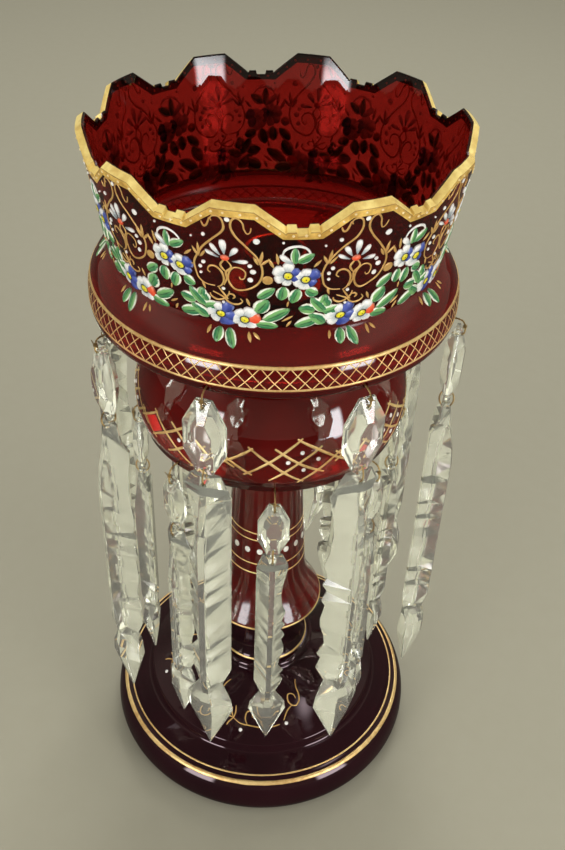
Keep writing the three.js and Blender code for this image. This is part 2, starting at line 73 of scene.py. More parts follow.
# The floor is a plain pale sheet of warm grey card, wide enough to fill the view from above. As on the photograph,
# it looks brighter through clear glass than beside it, and darker in mirror reflections.
FLOOR_COLOUR = (0.338, 0.319, 0.236, 1)
FLOOR_SHADE = (0.324, 0.305, 0.223, 1)
FLOOR_THROUGH = (0.47, 0.46, 0.355, 1)
FLOOR_MIRRORED = (0.09, 0.08, 0.06, 1)
FLOOR_RADIUS = 4.0


def shader(name):
    """A new material with its node tree and its Principled shader."""
    material = bpy.data.materials.new(name)
    material.use_nodes = True
    return material, material.node_tree, material.node_tree.nodes["Principled BSDF"]


def feed(tree, target, values):
    """Sets a node's sockets. A value that is a socket itself is linked."""
    for key, value in values.items():
        if isinstance(value, bpy.types.NodeSocket):
            tree.links.new(value, target.inputs[key])
        else:
            target.inputs[key].default_value = value


def node(tree, kind, values=None, **settings):
    """A new node with its settings, and with its sockets set."""
    made = tree.nodes.new(kind)
    for key, value in settings.items():
        setattr(made, key, value)
    feed(tree, made, values or {})
    return made


def first(tree, kind, values=None, **settings):
    """The first output of a new node."""
    return node(tree, kind, values, **settings).outputs[0]


def mixed(tree, share, start, end):
    """A colour between two others."""
    return node(tree, "ShaderNodeMix", {"Factor": share, "A": start, "B": end}, data_type="RGBA").outputs["Result"]


def noise(tree, size, detail, place=None, **more):
    """Noise in the piece's own coordinates, unless it is given others."""
    if place is None:
        place = node(tree, "ShaderNodeTexCoord").outputs["Object"]
    return first(tree, "ShaderNodeTexNoise", {"Vector": place, "Scale": size, "Detail": detail, **more})


card, card_tree, card_shader = shader("floor_card")
card_seen = mixed(card_tree, noise(card_tree, 90.0, 4.0), FLOOR_COLOUR, FLOOR_SHADE)
card_rays = node(card_tree, "ShaderNodeLightPath").outputs
for ray, colour in (("Is Glossy Ray", FLOOR_MIRRORED), ("Is Transmission Ray", FLOOR_THROUGH)):
    card_seen = mixed(card_tree, card_rays[ray], card_seen, colour)
feed(card_tree, card_shader, {"Base Color": card_seen, "Roughness": 0.9, "Specular IOR Level": 0.15})

floor_shape = bmesh.new()
bmesh.ops.create_circle(floor_shape, cap_ends=True, segments=96, radius=FLOOR_RADIUS)
floor = added("floor", bpy.data.meshes.new("floor"))
floor_shape.to_mesh(floor.data)
floor_shape.free()
floor.data.materials.append(card)


# Studio light: a low soft box each side of the camera, one high on the right, one high behind, and even light from
# the room. The boxes fade towards their edges. Mirror reflections see a dimmer room than clear glass does, with a
# bright window high up on each side.
BOX_AIM = Vector((0, 0, 0.245))
SOFT_BOXES = {  # azimuth, elevation, distance, width, height, share that fades, glow
    "left": (-36, 0.3, 0.95, 0.37, 0.5, 0.17, 13),
    "right": (48, 0.3, 0.95, 0.38, 0.5, 0.17, 12.5),
    "high": (70, 54, 1.2, 0.5, 0.3, 0.5, 6),
    "back": (175, 52, 1.7, 1.1, 0.7, 0.3, 13.5),
}
BOX_COLOUR = (0.97, 0.98, 1)
ROOM_LIGHT = 0.58
ROOM_COLOUR = (1, 0.985, 0.96, 1)
ROOM_SEEN = {  # walls and ceiling, as each kind of ray sees them
    "Is Glossy Ray": ((0.25, 0.22, 0.17, 1), (0.14, 0.125, 0.10, 1)),
    "Is Transmission Ray": ((1.25, 1.23, 1.03, 1), (0.86, 0.85, 0.72, 1)),
    "Is Camera Ray": ((0.30, 0.285, 0.215, 1), (0.40, 0.385, 0.30, 1)),
}
WINDOWS = (0.55, 0.50, 0.40, 1)
WINDOW_FOOT, WINDOW_TOP = (0.25, 0.5), (0.88, 0.7)


def number_math(tree, operation, *values):
    """The result of one step of arithmetic."""
    return first(tree, "ShaderNodeMath", dict(enumerate(values)), operation=operation)


def ranged(tree, value, low, high, to_low=0.0, to_high=1.0, soft=False):
    """A value carried from one range to another, and held within it."""
    return first(tree, "ShaderNodeMapRange", {
        "Value": value, "From Min": low, "From Max": high, "To Min": to_low, "To Max": to_high,
    }, interpolation_type="SMOOTHSTEP" if soft else "LINEAR")


for name, (azimuth, elevation, distance, width, height, edge, glow) in SOFT_BOXES.items():
    light = bpy.data.lights.new(f"soft_box_{name}", "AREA")
    light.shape = "RECTANGLE"
    light.size, light.size_y = width, height
    light.energy = glow * math.pi * width * height
    light.color = BOX_COLOUR
    light.use_nodes = True
    lit = light.node_tree
    place = node(lit, "ShaderNodeSeparateXYZ", {0: node(lit, "ShaderNodeNewGeometry").outputs["Parametric"]}).outputs
    aside = [number_math(lit, "ABSOLUTE", number_math(lit, "SUBTRACT", place[axis], 0.5)) for axis in ("X", "Y")]
    fades = [ranged(lit, reach, 0.5, 0.5 - edge, soft=True) for reach in aside]
    feed(lit, lit.nodes["Emission"], {"Strength": number_math(lit, "MULTIPLY", *fades)})
    azimuth, elevation = math.radians(azimuth), math.radians(elevation)
    out = Vector((math.sin(azimuth), -math.cos(azimuth), 0)) * math.cos(elevation)
    out += Vector((0, 0, math.sin(elevation)))
    lamp = added(light.name, light)
    lamp.location = BOX_AIM + out * distance
    lamp.rotation_euler = out.to_track_quat("Z", "Y").to_euler()

room = bpy.data.worlds.new("room")
room.use_nodes = True
scene.world = room
room_tree = room.node_tree
even = room_tree.nodes["Background"]
feed(room_tree, even, {"Color": ROOM_COLOUR, "Strength": ROOM_LIGHT})
rays = node(room_tree, "ShaderNodeLightPath").outputs
way = node(room_tree, "ShaderNodeTexCoord").outputs["Generated"]
way = node(room_tree, "ShaderNodeSeparateXYZ", {0: way}).outputs
rise = ranged(room_tree, way["Z"], 0.15, 0.75)
window = ranged(room_tree, number_math(room_tree, "ABSOLUTE", way["X"]), 0.5, 0.8, soft=True)
for start, end in (WINDOW_FOOT, WINDOW_TOP):
    window = number_math(room_tree, "MULTIPLY", window, ranged(room_tree, way["Z"], start, end, soft=True))
seen = even.outputs[0]
for ray, (walls, ceiling) in ROOM_SEEN.items():
    shown = mixed(room_tree, rise, walls, ceiling)
    if ray == "Is Glossy Ray":
        shown = mixed(room_tree, window, shown, WINDOWS)
    backing = first(room_tree, "ShaderNodeBackground", {"Color": shown, "Strength": 1.0})
    seen = first(room_tree, "ShaderNodeMixShader", {0: rays[ray], 1: seen, 2: backing})
feed(room_tree, room_tree.nodes["World Output"], {"Surface": seen})


# The foot is a thick, nearly black purple glass dome with a rounded brim, a crisp step, a ring bead and a collar.
# It is blown and turned, polished all over, and hollow underneath.
TURNED_SIDES = 160
SHARP_EDGE = math.radians(32)
FOOT_EDGE = [
    (76, 0), (80.4, 2), (82.5, 6.2), (82.8, 10.5), (82, 15.6), (79.9, 20), (76.6, 22.9),
    (72, 24.5), (68, 25.8), (65, 26.8),
]
FOOT_STEP = [(64.2, 27.4), (63.8, 28.2), (63.5, 29.4)]
STEP_EDGE = (61.2, 31.08, 1.6)
FOOT_DOME = [(58.4, 34.5), (52, 38.1), (44.6, 41.9), (36, 45.8), (30, 48.4), (27.6, 49.3)]
RING_BEAD = (24.9, 51.4, 3.0)
FOOT_COLLAR = [(24.4, 54.3), (22.6, 58), (21.5, 64), (21.3, 72), (21.4, 83)]
FOOT_SPIGOT = [(14.3, 83), (14.3, 97), (9.5, 97), (9.5, 54.1)]
FOOT_INSIDE = [(22, 46.4), (36, 41.3), (50, 34.6), (58.5, 28.6), (60.8, 22.6), (66, 10), (68, 0)]
DARK_GLASS = (0.007, 0.0018, 0.003, 1)
PURPLE_GLASS = (0.019, 0.004, 0.006, 1)


def smooth(points, steps=6):
    """A smooth line through a few points, with some steps between each two."""
    ends = [points[0], *points, points[-1]]
    line = []
    for p0, p1, p2, p3 in zip(ends, ends[1:], ends[2:], ends[3:]):
        for i in range(steps):
            t = i / steps
            line.append(tuple(
                b + 0.5 * t * (c - a + t * (2 * a - 5 * b + 4 * c - d + t * (3 * b - a - 3 * c + d)))
                for a, b, c, d in zip(p0, p1, p2, p3)
            ))
    return [*line, tuple(points[-1])]


def arc(radius, height, size, start, stop, steps=8):
    """A round stretch of an outline: part of a circle about (radius, height), in degrees from straight out."""
    turns = [math.radians(start + (stop - start) * i / steps) for i in range(steps + 1)]
    return [(radius + size * math.cos(a), height + size * math.sin(a)) for a in turns]


def piece(name, points, faces, materials, slots=None, sharp=SHARP_EDGE):
    """A mesh object from points in millimetres, with its normals outward and its sharp edges marked."""
    mesh = bpy.data.meshes.new(name)
    mesh.from_pydata([(x * MM, y * MM, z * MM) for x, y, z in points], [], faces)
    if slots:
        mesh.polygons.foreach_set("material_index", slots)
    shape = bmesh.new()
    shape.from_mesh(mesh)
    bmesh.ops.recalc_face_normals(shape, faces=shape.faces)
    shape.to_mesh(mesh)
    shape.free()
    for material in materials:
        mesh.materials.append(material)
    finish_mesh(mesh, sharp)
    return added(name, mesh)


def finish_mesh(mesh, sharp=SHARP_EDGE):
    """Smooth shading, with the sharp edges marked."""
    mesh.polygons.foreach_set("use_smooth", [True] * len(mesh.polygons))
    mesh.set_sharp_from_angle(angle=sharp)


def turned(name, outline, materials, azimuths=None, slots=None, sharp=SHARP_EDGE):
    """A piece turned about the upright axis. A place in its outline is (radius, height), or a rule that gives them
    for an azimuth. The outline is closed, or has both its ends on the axis."""
    azimuths = azimuths or [360 * i / TURNED_SIDES for i in range(TURNED_SIDES)]
    points, rings = [], []
    for place in outline:
        pole = not callable(place) and place[0] < 1e-6
        start = len(points)
        for azimuth in azimuths[:1] if pole else azimuths:
            radius, height = place(azimuth) if callable(place) else place
            turn = math.radians(azimuth)
            points.append((radius * math.sin(turn), -radius * math.cos(turn), height))
        rings.append(range(start, len(points)))
    faces, face_slots = [], []
    pairs = list(zip(rings, rings[1:]))
    if len(rings[0]) > 1:
        pairs.append((rings[-1], rings[0]))
    for strip, (low, high) in enumerate(pairs):
        for i in range(len(azimuths)):
            k = i + 1
            corners = [low[i % len(low)], low[k % len(low)], high[k % len(high)], high[i % len(high)]]
            faces.append(tuple(dict.fromkeys(corners)))
            face_slots.append(slots[strip] if slots else 0)
    return piece(name, points, faces, materials, face_slots, sharp)


def handed(made, body, slot=None, *replaced):
    """Tells the frame which body a piece rides on, and the nodes that it replaces. The material slot is not used."""
    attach(made, body)
    if replaced:
        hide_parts(*replaced)


def group(name, kind, inputs, outputs):
    """A new node group, what it is given, and its output node. An input has a kind and a default, an output a kind."""
    made = bpy.data.node_groups.new(name, kind)
    for label, (socket, value) in inputs.items():
        new = made.interface.new_socket(label, in_out="INPUT", socket_type=f"NodeSocket{socket}")
        if value is not None:
            new.default_value = value
    for label, socket in outputs.items():
        made.interface.new_socket(label, in_out="OUTPUT", socket_type=f"NodeSocket{socket}")
    return made, made.nodes.new("NodeGroupInput").outputs, made.nodes.new("NodeGroupOutput")


# Handling leaves faint smears on all the glass: a soft change of roughness.
smears, smear_in, smear_out = group(
    "smears", "ShaderNodeTree",
    {"Size": ("Float", 60.0), "Clean": ("Float", 0.02), "Smeared": ("Float", 0.1)}, {"Roughness": "Float"},
)
smear_noise = noise(smears, smear_in["Size"], 5.0, Roughness=0.6, Distortion=0.8)
smear_range = ranged(smears, smear_noise, 0.48, 0.74, smear_in["Clean"], smear_in["Smeared"], soft=True)
feed(smears, smear_out, {"Roughness": smear_range})


def glass(name, deep, thin, clean, smeared, size=60.0, transmission=1.0, ior=1.52, more=None):
    """Glass whose colour wanders a little between a deep and a thin tone."""
    material, tree, surface = shader(name)
    hand = first(tree, "ShaderNodeGroup", {"Size": size, "Clean": clean, "Smeared": smeared}, node_tree=smears)
    feed(tree, surface, {
        "Base Color": mixed(tree, noise(tree, size * 0.4, 2.0), deep, thin), "Roughness": hand,
        "Metallic": 0, "Transmission Weight": transmission, "IOR": ior, **(more or {}),
    })
    return material


dark_glass = glass(
    "dark_purple_glass", DARK_GLASS, PURPLE_GLASS, 0.03, 0.12, transmission=0.0,
    more={"Specular Tint": (1, 0.78, 0.82, 1), "Specular IOR Level": 0.4},
)
foot_edge = [*smooth(FOOT_EDGE), *FOOT_STEP]
foot_dome = [*arc(*STEP_EDGE, 20, 60.6), *smooth(FOOT_DOME)]
foot_bead = arc(*RING_BEAD, -35, 64)
foot_collar = smooth(FOOT_COLLAR)
foot = turned(
    "foot_glass",
    [*foot_edge, *foot_dome, *foot_bead, *foot_collar, *FOOT_SPIGOT, *smooth(FOOT_INSIDE, 4)],
    [dark_glass],
)
handed(foot, "root", "dark_glass", "foot")


# The gilding on the foot is painted on with a brush and fired: two rings on the brim, one at the collar's foot,
# and six sprigs of scrolls on the dome, each with two white enamel dots.
GOLD_BRIGHT = (0.84, 0.60, 0.245, 1)
GOLD_DULL = (0.56, 0.30, 0.09, 1)
SCROLL_BRIGHT = (0.66, 0.41, 0.13, 1)
SCROLL_DULL = (0.46, 0.24, 0.06, 1)
WHITE_LIGHT = (0.84, 0.81, 0.74, 1)
WHITE_SHADE = (0.62, 0.61, 0.56, 1)
FOOT_RINGS = [(21.75, 1.3), (23.66, 0.45)]
COLLAR_RING = (54.9, 0.62)
SPRIGS = 6
SPRIG_STROKES = [
    [(33, 46.2), (31.5, 45.6), (30.2, 44.4), (30.1, 43), (28.4, 41.6), (25.4, 40.8), (22.4, 41.2), (20.8, 42.4),
     (21.9, 43.6), (24.3, 43.7), (26.3, 43.2), (26.8, 42.3)],
    [(22.6, 41.1), (19.4, 40.4), (17.2, 39.4), (15.2, 38)],
    [(12.6, 37.2), (4.5, 36.6), (-4.5, 37), (-10.2, 37.2), (-15, 38.2)],
    [(-15, 38.2), (-16.8, 39.4), (-17.4, 40.6)], [(-15, 38.2), (-14.6, 39.6), (-15.4, 41.2)],
    [(-15, 38.2), (-18.4, 38.4), (-20.6, 38)], [(-15, 38.2), (-17, 37), (-17.6, 36)],
    [(-6, 37), (-8, 38.6), (-7.4, 40.2), (-4.6, 40.4), (-3.6, 39)],
]
SPRIG_WIDTH = 0.75
SPRIG_DOTS = [(16.4, 37.2), (-9.4, 35.6)]
DOT_WIDTH = 2.1


def spot(profile, azimuth, height, lift=0.0):
    """A point on a turned surface, in millimetres, and the way that the surface faces there."""
    for (r0, z0), (r1, z1) in zip(profile, profile[1:]):
        if z0 <= height <= z1 and z1 > z0:
            break
    share = min(1, max(0, (height - z0) / (z1 - z0)))
    length = math.hypot(r1 - r0, z1 - z0)
    turn = math.radians(azimuth)
    outward = Vector((math.sin(turn), -math.cos(turn), 0))
    facing = (outward * (z1 - z0) + Vector((0, 0, r0 - r1))) / length
    radius = r0 + share * (r1 - r0)
    return outward * radius + Vector((0, 0, height)) + facing * lift, facing


def attribute(mesh, name, kind, values):
    """Gives each point of a mesh its own value."""
    made = mesh.attributes.new(name, kind, "POINT")
    field = "value" if kind == "FLOAT" else "vector"
    made.data.foreach_set(field, values if kind == "FLOAT" else [x for value in values for x in value])


def stroke(profile, places, width, steps=4, taper=0.55, closed=False, lift=0.0):
    """The middle line of one brush stroke: points on the surface, the way it faces, and half widths."""
    line = places if closed else smooth(places, steps)
    last = len(line) - 1
    found = []
    for i, (azimuth, height) in enumerate(line):
        point, facing = spot(profile, azimuth, height, lift)
        swell = 1 if closed else taper + (1 - taper) * min(1, 3.2 * min(i, last - i) / last)
        found.append((point * MM, facing, width / 2 * MM * swell * random.uniform(0.93, 1.07)))
    return found, closed


def ring_stroke(profile, height, half_width, sides=144):
    """A brush stroke that runs all the way round."""
    return stroke(profile, [(360 * i / sides, height) for i in range(sides)], half_width * 2, closed=True)


def bare_lines(name, paths):
    """A mesh of lines alone, from (points in metres, closed) pairs."""
    points, edges = [], []
    for path, closed in paths:
        start = len(points)
        points += path
        edges += [(i, i + 1) for i in range(start, len(points) - 1)]
        if closed:
            edges.append((len(points) - 1, start))
    mesh = bpy.data.meshes.new(name)
    mesh.from_pydata(points, edges, [])
    return mesh


def stroke_lines(name, strokes):
    """Brush strokes as bare lines, with what the brush tree needs to know at each point."""
    mesh = bare_lines(name, [([point for point, _, _ in found], closed) for found, closed in strokes])
    attribute(mesh, "facing", "FLOAT_VECTOR", [facing for found, _ in strokes for _, facing, _ in found])
    attribute(mesh, "half_width", "FLOAT", [width for found, _ in strokes for _, _, width in found])
    return mesh


REPEATS = {
    "Geometry": ("Geometry", None), "Copies": ("Int", 1), "Turn": ("Float", 0.0), "Waver": ("Float", 0.0),
    "Drift": ("Float", 0.0), "Seed": ("Float", 0.0), "Material": ("Material", None),
}


def named(tree, label, kind):
    return node(tree, "GeometryNodeInputNamedAttribute", {"Name": label}, data_type=kind).outputs["Attribute"]


def vector_math(tree, operation, *values):
    """The result of one step of vector arithmetic. The last value of a SCALE is its factor."""
    keys = (0, "Scale") if operation == "SCALE" else (0, 1)
    made = node(tree, "ShaderNodeVectorMath", dict(zip(keys, values)), operation=operation)
    return made.outputs["Value" if operation == "DOT_PRODUCT" else "Vector"]


def repeated(tree, shape, given, out):
    """Ends a tree: copies the shape round the upright axis, lets the hand waver, and gives it its material."""
    turn = number_math(tree, "MULTIPLY", first(tree, "GeometryNodeInputIndex"), given["Turn"])
    made = first(tree, "GeometryNodeInstanceOnPoints", {
        "Points": first(tree, "GeometryNodePoints", {"Count": given["Copies"]}), "Instance": shape,
        "Rotation": first(tree, "ShaderNodeCombineXYZ", {"Z": turn}),
    })
    made = first(tree, "GeometryNodeRealizeInstances", {"Geometry": made})
    position = first(tree, "GeometryNodeInputPosition")
    shake = node(
        tree, "ShaderNodeTexNoise", {"Vector": position, "W": given["Seed"], "Scale": 90.0, "Detail": 1.0},
        noise_dimensions="4D",
    ).outputs["Color"]
    shake = node(tree, "ShaderNodeSeparateXYZ", {0: shake}).outputs
    angle, drift = [
        number_math(tree, "MULTIPLY", number_math(tree, "SUBTRACT", shake[axis], 0.5), given[reach])
        for axis, reach in (("X", "Waver"), ("Y", "Drift"))
    ]
    made = first(tree, "GeometryNodeSetPosition", {
        "Geometry": made,
        "Position": first(tree, "ShaderNodeVectorRotate", {"Vector": position, "Angle": angle}, rotation_type="Z_AXIS"),
        "Offset": first(tree, "ShaderNodeCombineXYZ", {"Z": drift}),
    })
    made = first(tree, "GeometryNodeSetShadeSmooth", {"Geometry": made})
    made = first(tree, "GeometryNodeSetMaterial", {"Geometry": made, "Material": given["Material"]})
    feed(tree, out, {"Geometry": made})


# A brush stroke is a flattened bead of paint along its line.
brush, brush_in, brush_out = group(
    "brush_strokes", "GeometryNodeTree", REPEATS | {"Flat": ("Float", 0.3)}, {"Geometry": "Geometry"},
)
brush_facing = named(brush, "facing", "FLOAT_VECTOR")
brush_position = first(brush, "GeometryNodeInputPosition")
brush_keep = node(brush, "GeometryNodeCaptureAttribute", domain="POINT")
brush_keep.capture_items.new("VECTOR", "Centre")
feed(brush, brush_keep, {
    "Geometry": first(brush, "GeometryNodeMeshToCurve", {"Mesh": brush_in["Geometry"]}), "Centre": brush_position,
})
brush_bead = first(brush, "GeometryNodeCurveToMesh", {
    "Curve": brush_keep.outputs["Geometry"], "Scale": named(brush, "half_width", "FLOAT"), "Fill Caps": True,
    "Profile Curve": first(brush, "GeometryNodeCurvePrimitiveCircle", {"Resolution": 6, "Radius": 1.0}),
})
brush_away = vector_math(brush, "SUBTRACT", brush_position, brush_keep.outputs["Centre"])
brush_rise = vector_math(brush, "DOT_PRODUCT", brush_away, brush_facing)
brush_press = number_math(brush, "MULTIPLY", brush_rise, number_math(brush, "SUBTRACT", brush_in["Flat"], 1.0))
brush_flat = first(brush, "GeometryNodeSetPosition", {
    "Geometry": brush_bead, "Offset": vector_math(brush, "SCALE", brush_facing, brush_press),
})
repeated(brush, brush_flat, brush_in, brush_out)


def made_by(tree, name, mesh, material, body="root", slot=None, copies=1, **values):
    """Runs a tree on a mesh, and keeps the result as a plain piece that rides on a body."""
    made = added(name, mesh)
    step = made.modifiers.new("make", "NODES")
    step.node_group = tree
    values |= {"Material": material, "Copies": copies, "Turn": 2 * math.pi / copies}
    for item in tree.interface.items_tree:
        if item.in_out == "INPUT" and item.name in values:
            step[item.identifier] = values[item.name]
    plain_mesh(made)
    handed(made, body, slot)
    return made


def plain_mesh(made):
    """Turns an object's modifiers into its mesh."""
    result = bpy.data.meshes.new_from_object(made.evaluated_get(bpy.context.evaluated_depsgraph_get()))
    made.modifiers.clear()
    result.name = made.name
    made.data = result


def brushed(name, strokes, material, **values):
    """A piece of brush strokes."""
    made_by(brush, name, stroke_lines(name, strokes), material, **values)


PAINT_GIVES = {"Colour": "Color", "Roughness": "Float", "Height": "Float"}

# Gold leaf paint wears thin on its high spots, and the brush leaves it uneven.
worn_gold, worn_in, worn_out = group(
    "worn_gold", "ShaderNodeTree",
    {"Bright": ("Color", GOLD_BRIGHT), "Dull": ("Color", GOLD_DULL), "Size": ("Float", 420.0), "Wear": ("Float", 0.5)},
    PAINT_GIVES,
)
worn_fine = noise(worn_gold, worn_in["Size"], 5.0, Roughness=0.65)
worn_broad = number_math(worn_gold, "MULTIPLY", noise(worn_gold, 70.0, 2.0), 0.7)
worn_both = number_math(worn_gold, "ADD", worn_fine, worn_broad)
worn_mask = ranged(worn_gold, worn_both, 0.72, 1.02, 0.0, worn_in["Wear"])
feed(worn_gold, worn_out, {
    "Colour": mixed(worn_gold, worn_mask, worn_in["Bright"], worn_in["Dull"]),
    "Roughness": ranged(worn_gold, worn_fine, 0.0, 1.0, 0.2, 0.5), "Height": worn_fine,
})


def coated(name, paint, values, bump):
    """A material of a paint group, with the paint's own unevenness."""
    material, tree, surface = shader(name)
    coat = node(tree, "ShaderNodeGroup", values, node_tree=paint).outputs
    uneven = first(tree, "ShaderNodeBump", {"Height": coat["Height"], "Strength": bump, "Distance": 0.0003})
    feed(tree, surface, {"Base Color": coat["Colour"], "Roughness": coat["Roughness"], "Normal": uneven})
    return material, tree, surface


def gilding(name, bright, dull, wear=0.6, size=420.0, metallic=1.0, bump=0.12, back_shade=None):
    """Fired gold in two tones. Its back, seen from under the glass, may take a colour of its own: painted shade, for
    the unlit underside.
    """
    given = {"Bright": bright, "Dull": dull, "Wear": wear, "Size": size}
    material, tree, surface = coated(name, worn_gold, given, bump)
    surface.inputs["Metallic"].default_value = metallic
    if back_shade:
        facing_away = node(tree, "ShaderNodeNewGeometry").outputs["Backfacing"]
        colour = surface.inputs["Base Color"].links[0].from_socket
        feed(tree, surface, {"Base Color": mixed(tree, facing_away, colour, back_shade)})
    return material


# Enamel is glass paste, thick enough to stand up from the surface, with streaks where the brush ran.
enamel_body, enamel_in, enamel_out = group(
    "enamel_body", "ShaderNodeTree",
    {"Light": ("Color", WHITE_LIGHT), "Shade": ("Color", WHITE_SHADE), "Size": ("Float", 500.0)}, PAINT_GIVES,
)
enamel_grain = noise(enamel_body, enamel_in["Size"], 4.0, Roughness=0.6)
enamel_mask = ranged(enamel_body, enamel_grain, 0.42, 0.7)
feed(enamel_body, enamel_out, {
    "Colour": mixed(enamel_body, enamel_mask, enamel_in["Light"], enamel_in["Shade"]),
    "Roughness": ranged(enamel_body, enamel_grain, 0.0, 1.0, 0.22, 0.48), "Height": enamel_grain,
})


def enamel(name, light, shade, size=500.0):
    """Enamel of one colour, a little uneven."""
    return coated(name, enamel_body, {"Light": light, "Shade": shade, "Size": size}, 0.25)


# A dab is one touch of a loaded brush: a small domed shape laid on the surface, turned and stretched as the hand did.
dab_brush, dab_in, dab_out = group(
    "dabs", "GeometryNodeTree", REPEATS | {"Shape": ("Object", None)}, {"Geometry": "Geometry"},
)
dab_up = first(dab_brush, "FunctionNodeAlignRotationToVector", {
    "Vector": named(dab_brush, "facing", "FLOAT_VECTOR"),
}, axis="Z")
dab_along = first(dab_brush, "FunctionNodeAlignRotationToVector", {
    "Rotation": dab_up, "Vector": named(dab_brush, "along", "FLOAT_VECTOR"),
}, axis="X", pivot_axis="Z")
dab_set = first(dab_brush, "GeometryNodeInstanceOnPoints", {
    "Points": dab_in["Geometry"], "Rotation": dab_along, "Scale": named(dab_brush, "stretch", "FLOAT_VECTOR"),
    "Instance": node(dab_brush, "GeometryNodeObjectInfo", {"Object": dab_in["Shape"]}).outputs["Geometry"],
})
repeated(dab_brush, dab_set, dab_in, dab_out)


def domed(name, outline, rings=3, crease=0.0):
    """A small domed shape about one unit long, from (0, 0) along X. Its UV map runs along it and across it."""
    centre = (sum(x for x, _ in outline) / len(outline), 0.0)
    mesh = bpy.data.meshes.new(name)
    shape = bmesh.new()
    uv = shape.loops.layers.uv.new("UVMap")
    rows = []
    for ring in range(rings + 1):
        share = ring / rings
        grow = math.sin(share * math.pi / 2)
        height = math.cos(share * math.pi / 2)
        rows.append([
            shape.verts.new((
                centre[0] + (x - centre[0]) * grow, centre[1] + (y - centre[1]) * grow,
                height - crease * (1 - min(1, abs(y) * 6 * grow)) * (1 - share) - (0.3 if ring == rings else 0),
            )) for x, y in outline
        ] if ring else [shape.verts.new((*centre, 1 - crease))])
    widest = max(abs(y) for _, y in outline)
    count = len(outline)
    faces = [shape.faces.new((rows[0][0], rows[1][i], rows[1][(i + 1) % count])) for i in range(count)]
    for low, high in zip(rows[1:], rows[2:]):
        faces += [shape.faces.new((low[i], high[i], high[(i + 1) % count], low[(i + 1) % count])) for i in range(count)]
    faces.append(shape.faces.new(list(reversed(rows[-1]))))
    for face in faces:
        for loop in face.loops:
            loop[uv].uv = (loop.vert.co.x, 0.5 + loop.vert.co.y / widest / 2)
    bmesh.ops.recalc_face_normals(shape, faces=shape.faces)
    shape.to_mesh(mesh)
    shape.free()
    return bpy.data.objects.new(name, mesh)


def oval(blunt, tip, count):
    """An outline from (0, 0) to (1, 0). Blunt and tip say how round its start and its end are."""
    half = count // 2
    shares = [(1 - math.cos(math.pi * i / half)) / 2 for i in range(half + 1)]
    top = [(share, 0.5 * share ** blunt * (1 - share) ** tip) for share in shares]
    peak = max(y for _, y in top)
    top = [(x, y / 2 / peak) for x, y in top]
    return top + [(x, -y) for x, y in reversed(top[1:-1])]


DOT_TURNS = [math.pi * i / 5 for i in range(10)]
DOT_SHAPE = domed("dot_shape", [(0.5 + 0.5 * math.cos(turn), 0.5 * math.sin(turn)) for turn in DOT_TURNS])


def dab(profile, azimuth, height, along, length, width, rise, lift=0.0, back=0.0):
    """One dab at a place. Along is its direction in the surface: degrees from straight round (+X side) towards up."""
    point, facing = spot(profile, azimuth, height, lift)
    turn = math.radians(azimuth)
    level = Vector((math.cos(turn), math.sin(turn), 0))
    upward = facing.cross(level)
    way = level * math.cos(math.radians(along)) + upward * math.sin(math.radians(along))
    return (point - way * length * back) * MM, facing, way, Vector((length, width, rise)) * MM


def dot(profile, azimuth, height, width, tall=None, rise=0.35, lift=0.0):
    """A round dot, or an oval one, about its middle."""
    return dab(profile, azimuth, height, 0, width, tall or width, rise, lift, back=0.5)


def dab_points(name, dabs):
    """Dabs as bare points, with what the dab tree needs to know at each."""
    mesh = bpy.data.meshes.new(name)
    mesh.from_pydata([point for point, _, _, _ in dabs], [], [])
    attribute(mesh, "facing", "FLOAT_VECTOR", [facing for _, facing, _, _ in dabs])
    attribute(mesh, "along", "FLOAT_VECTOR", [way for _, _, way, _ in dabs])
    attribute(mesh, "stretch", "FLOAT_VECTOR", [stretch for _, _, _, stretch in dabs])
    return mesh


def dabbed(name, dabs, material, shape=DOT_SHAPE, **values):
    """A piece of dabs."""
    made_by(dab_brush, name, dab_points(name, dabs), material, Shape=shape, **values)


random.seed(7)
bright_gold = gilding("bright_gilding", GOLD_BRIGHT, GOLD_DULL, wear=0.75, metallic=0.45)
scroll_gold = gilding("scroll_gilding", SCROLL_BRIGHT, SCROLL_DULL, wear=0.7, metallic=0.3)
white_enamel = enamel("white_enamel", WHITE_LIGHT, WHITE_SHADE)[0]
foot_skin = [*foot_edge, *foot_dome]
foot_rings = [ring_stroke(foot_skin, *ring) for ring in FOOT_RINGS] + [ring_stroke(foot_collar, *COLLAR_RING)]
brushed("foot_gilt_rings", foot_rings, bright_gold, slot="brass", Flat=0.16)
brushed(
    "foot_gilt_sprigs", [stroke(foot_dome, places, SPRIG_WIDTH) for places in SPRIG_STROKES], scroll_gold,
    slot="brass", copies=SPRIGS, Flat=0.5, Waver=0.012, Seed=3.0,
)
dabbed("foot_white_dots", [dot(foot_dome, *place, DOT_WIDTH) for place in SPRIG_DOTS], white_enamel, copies=SPRIGS)


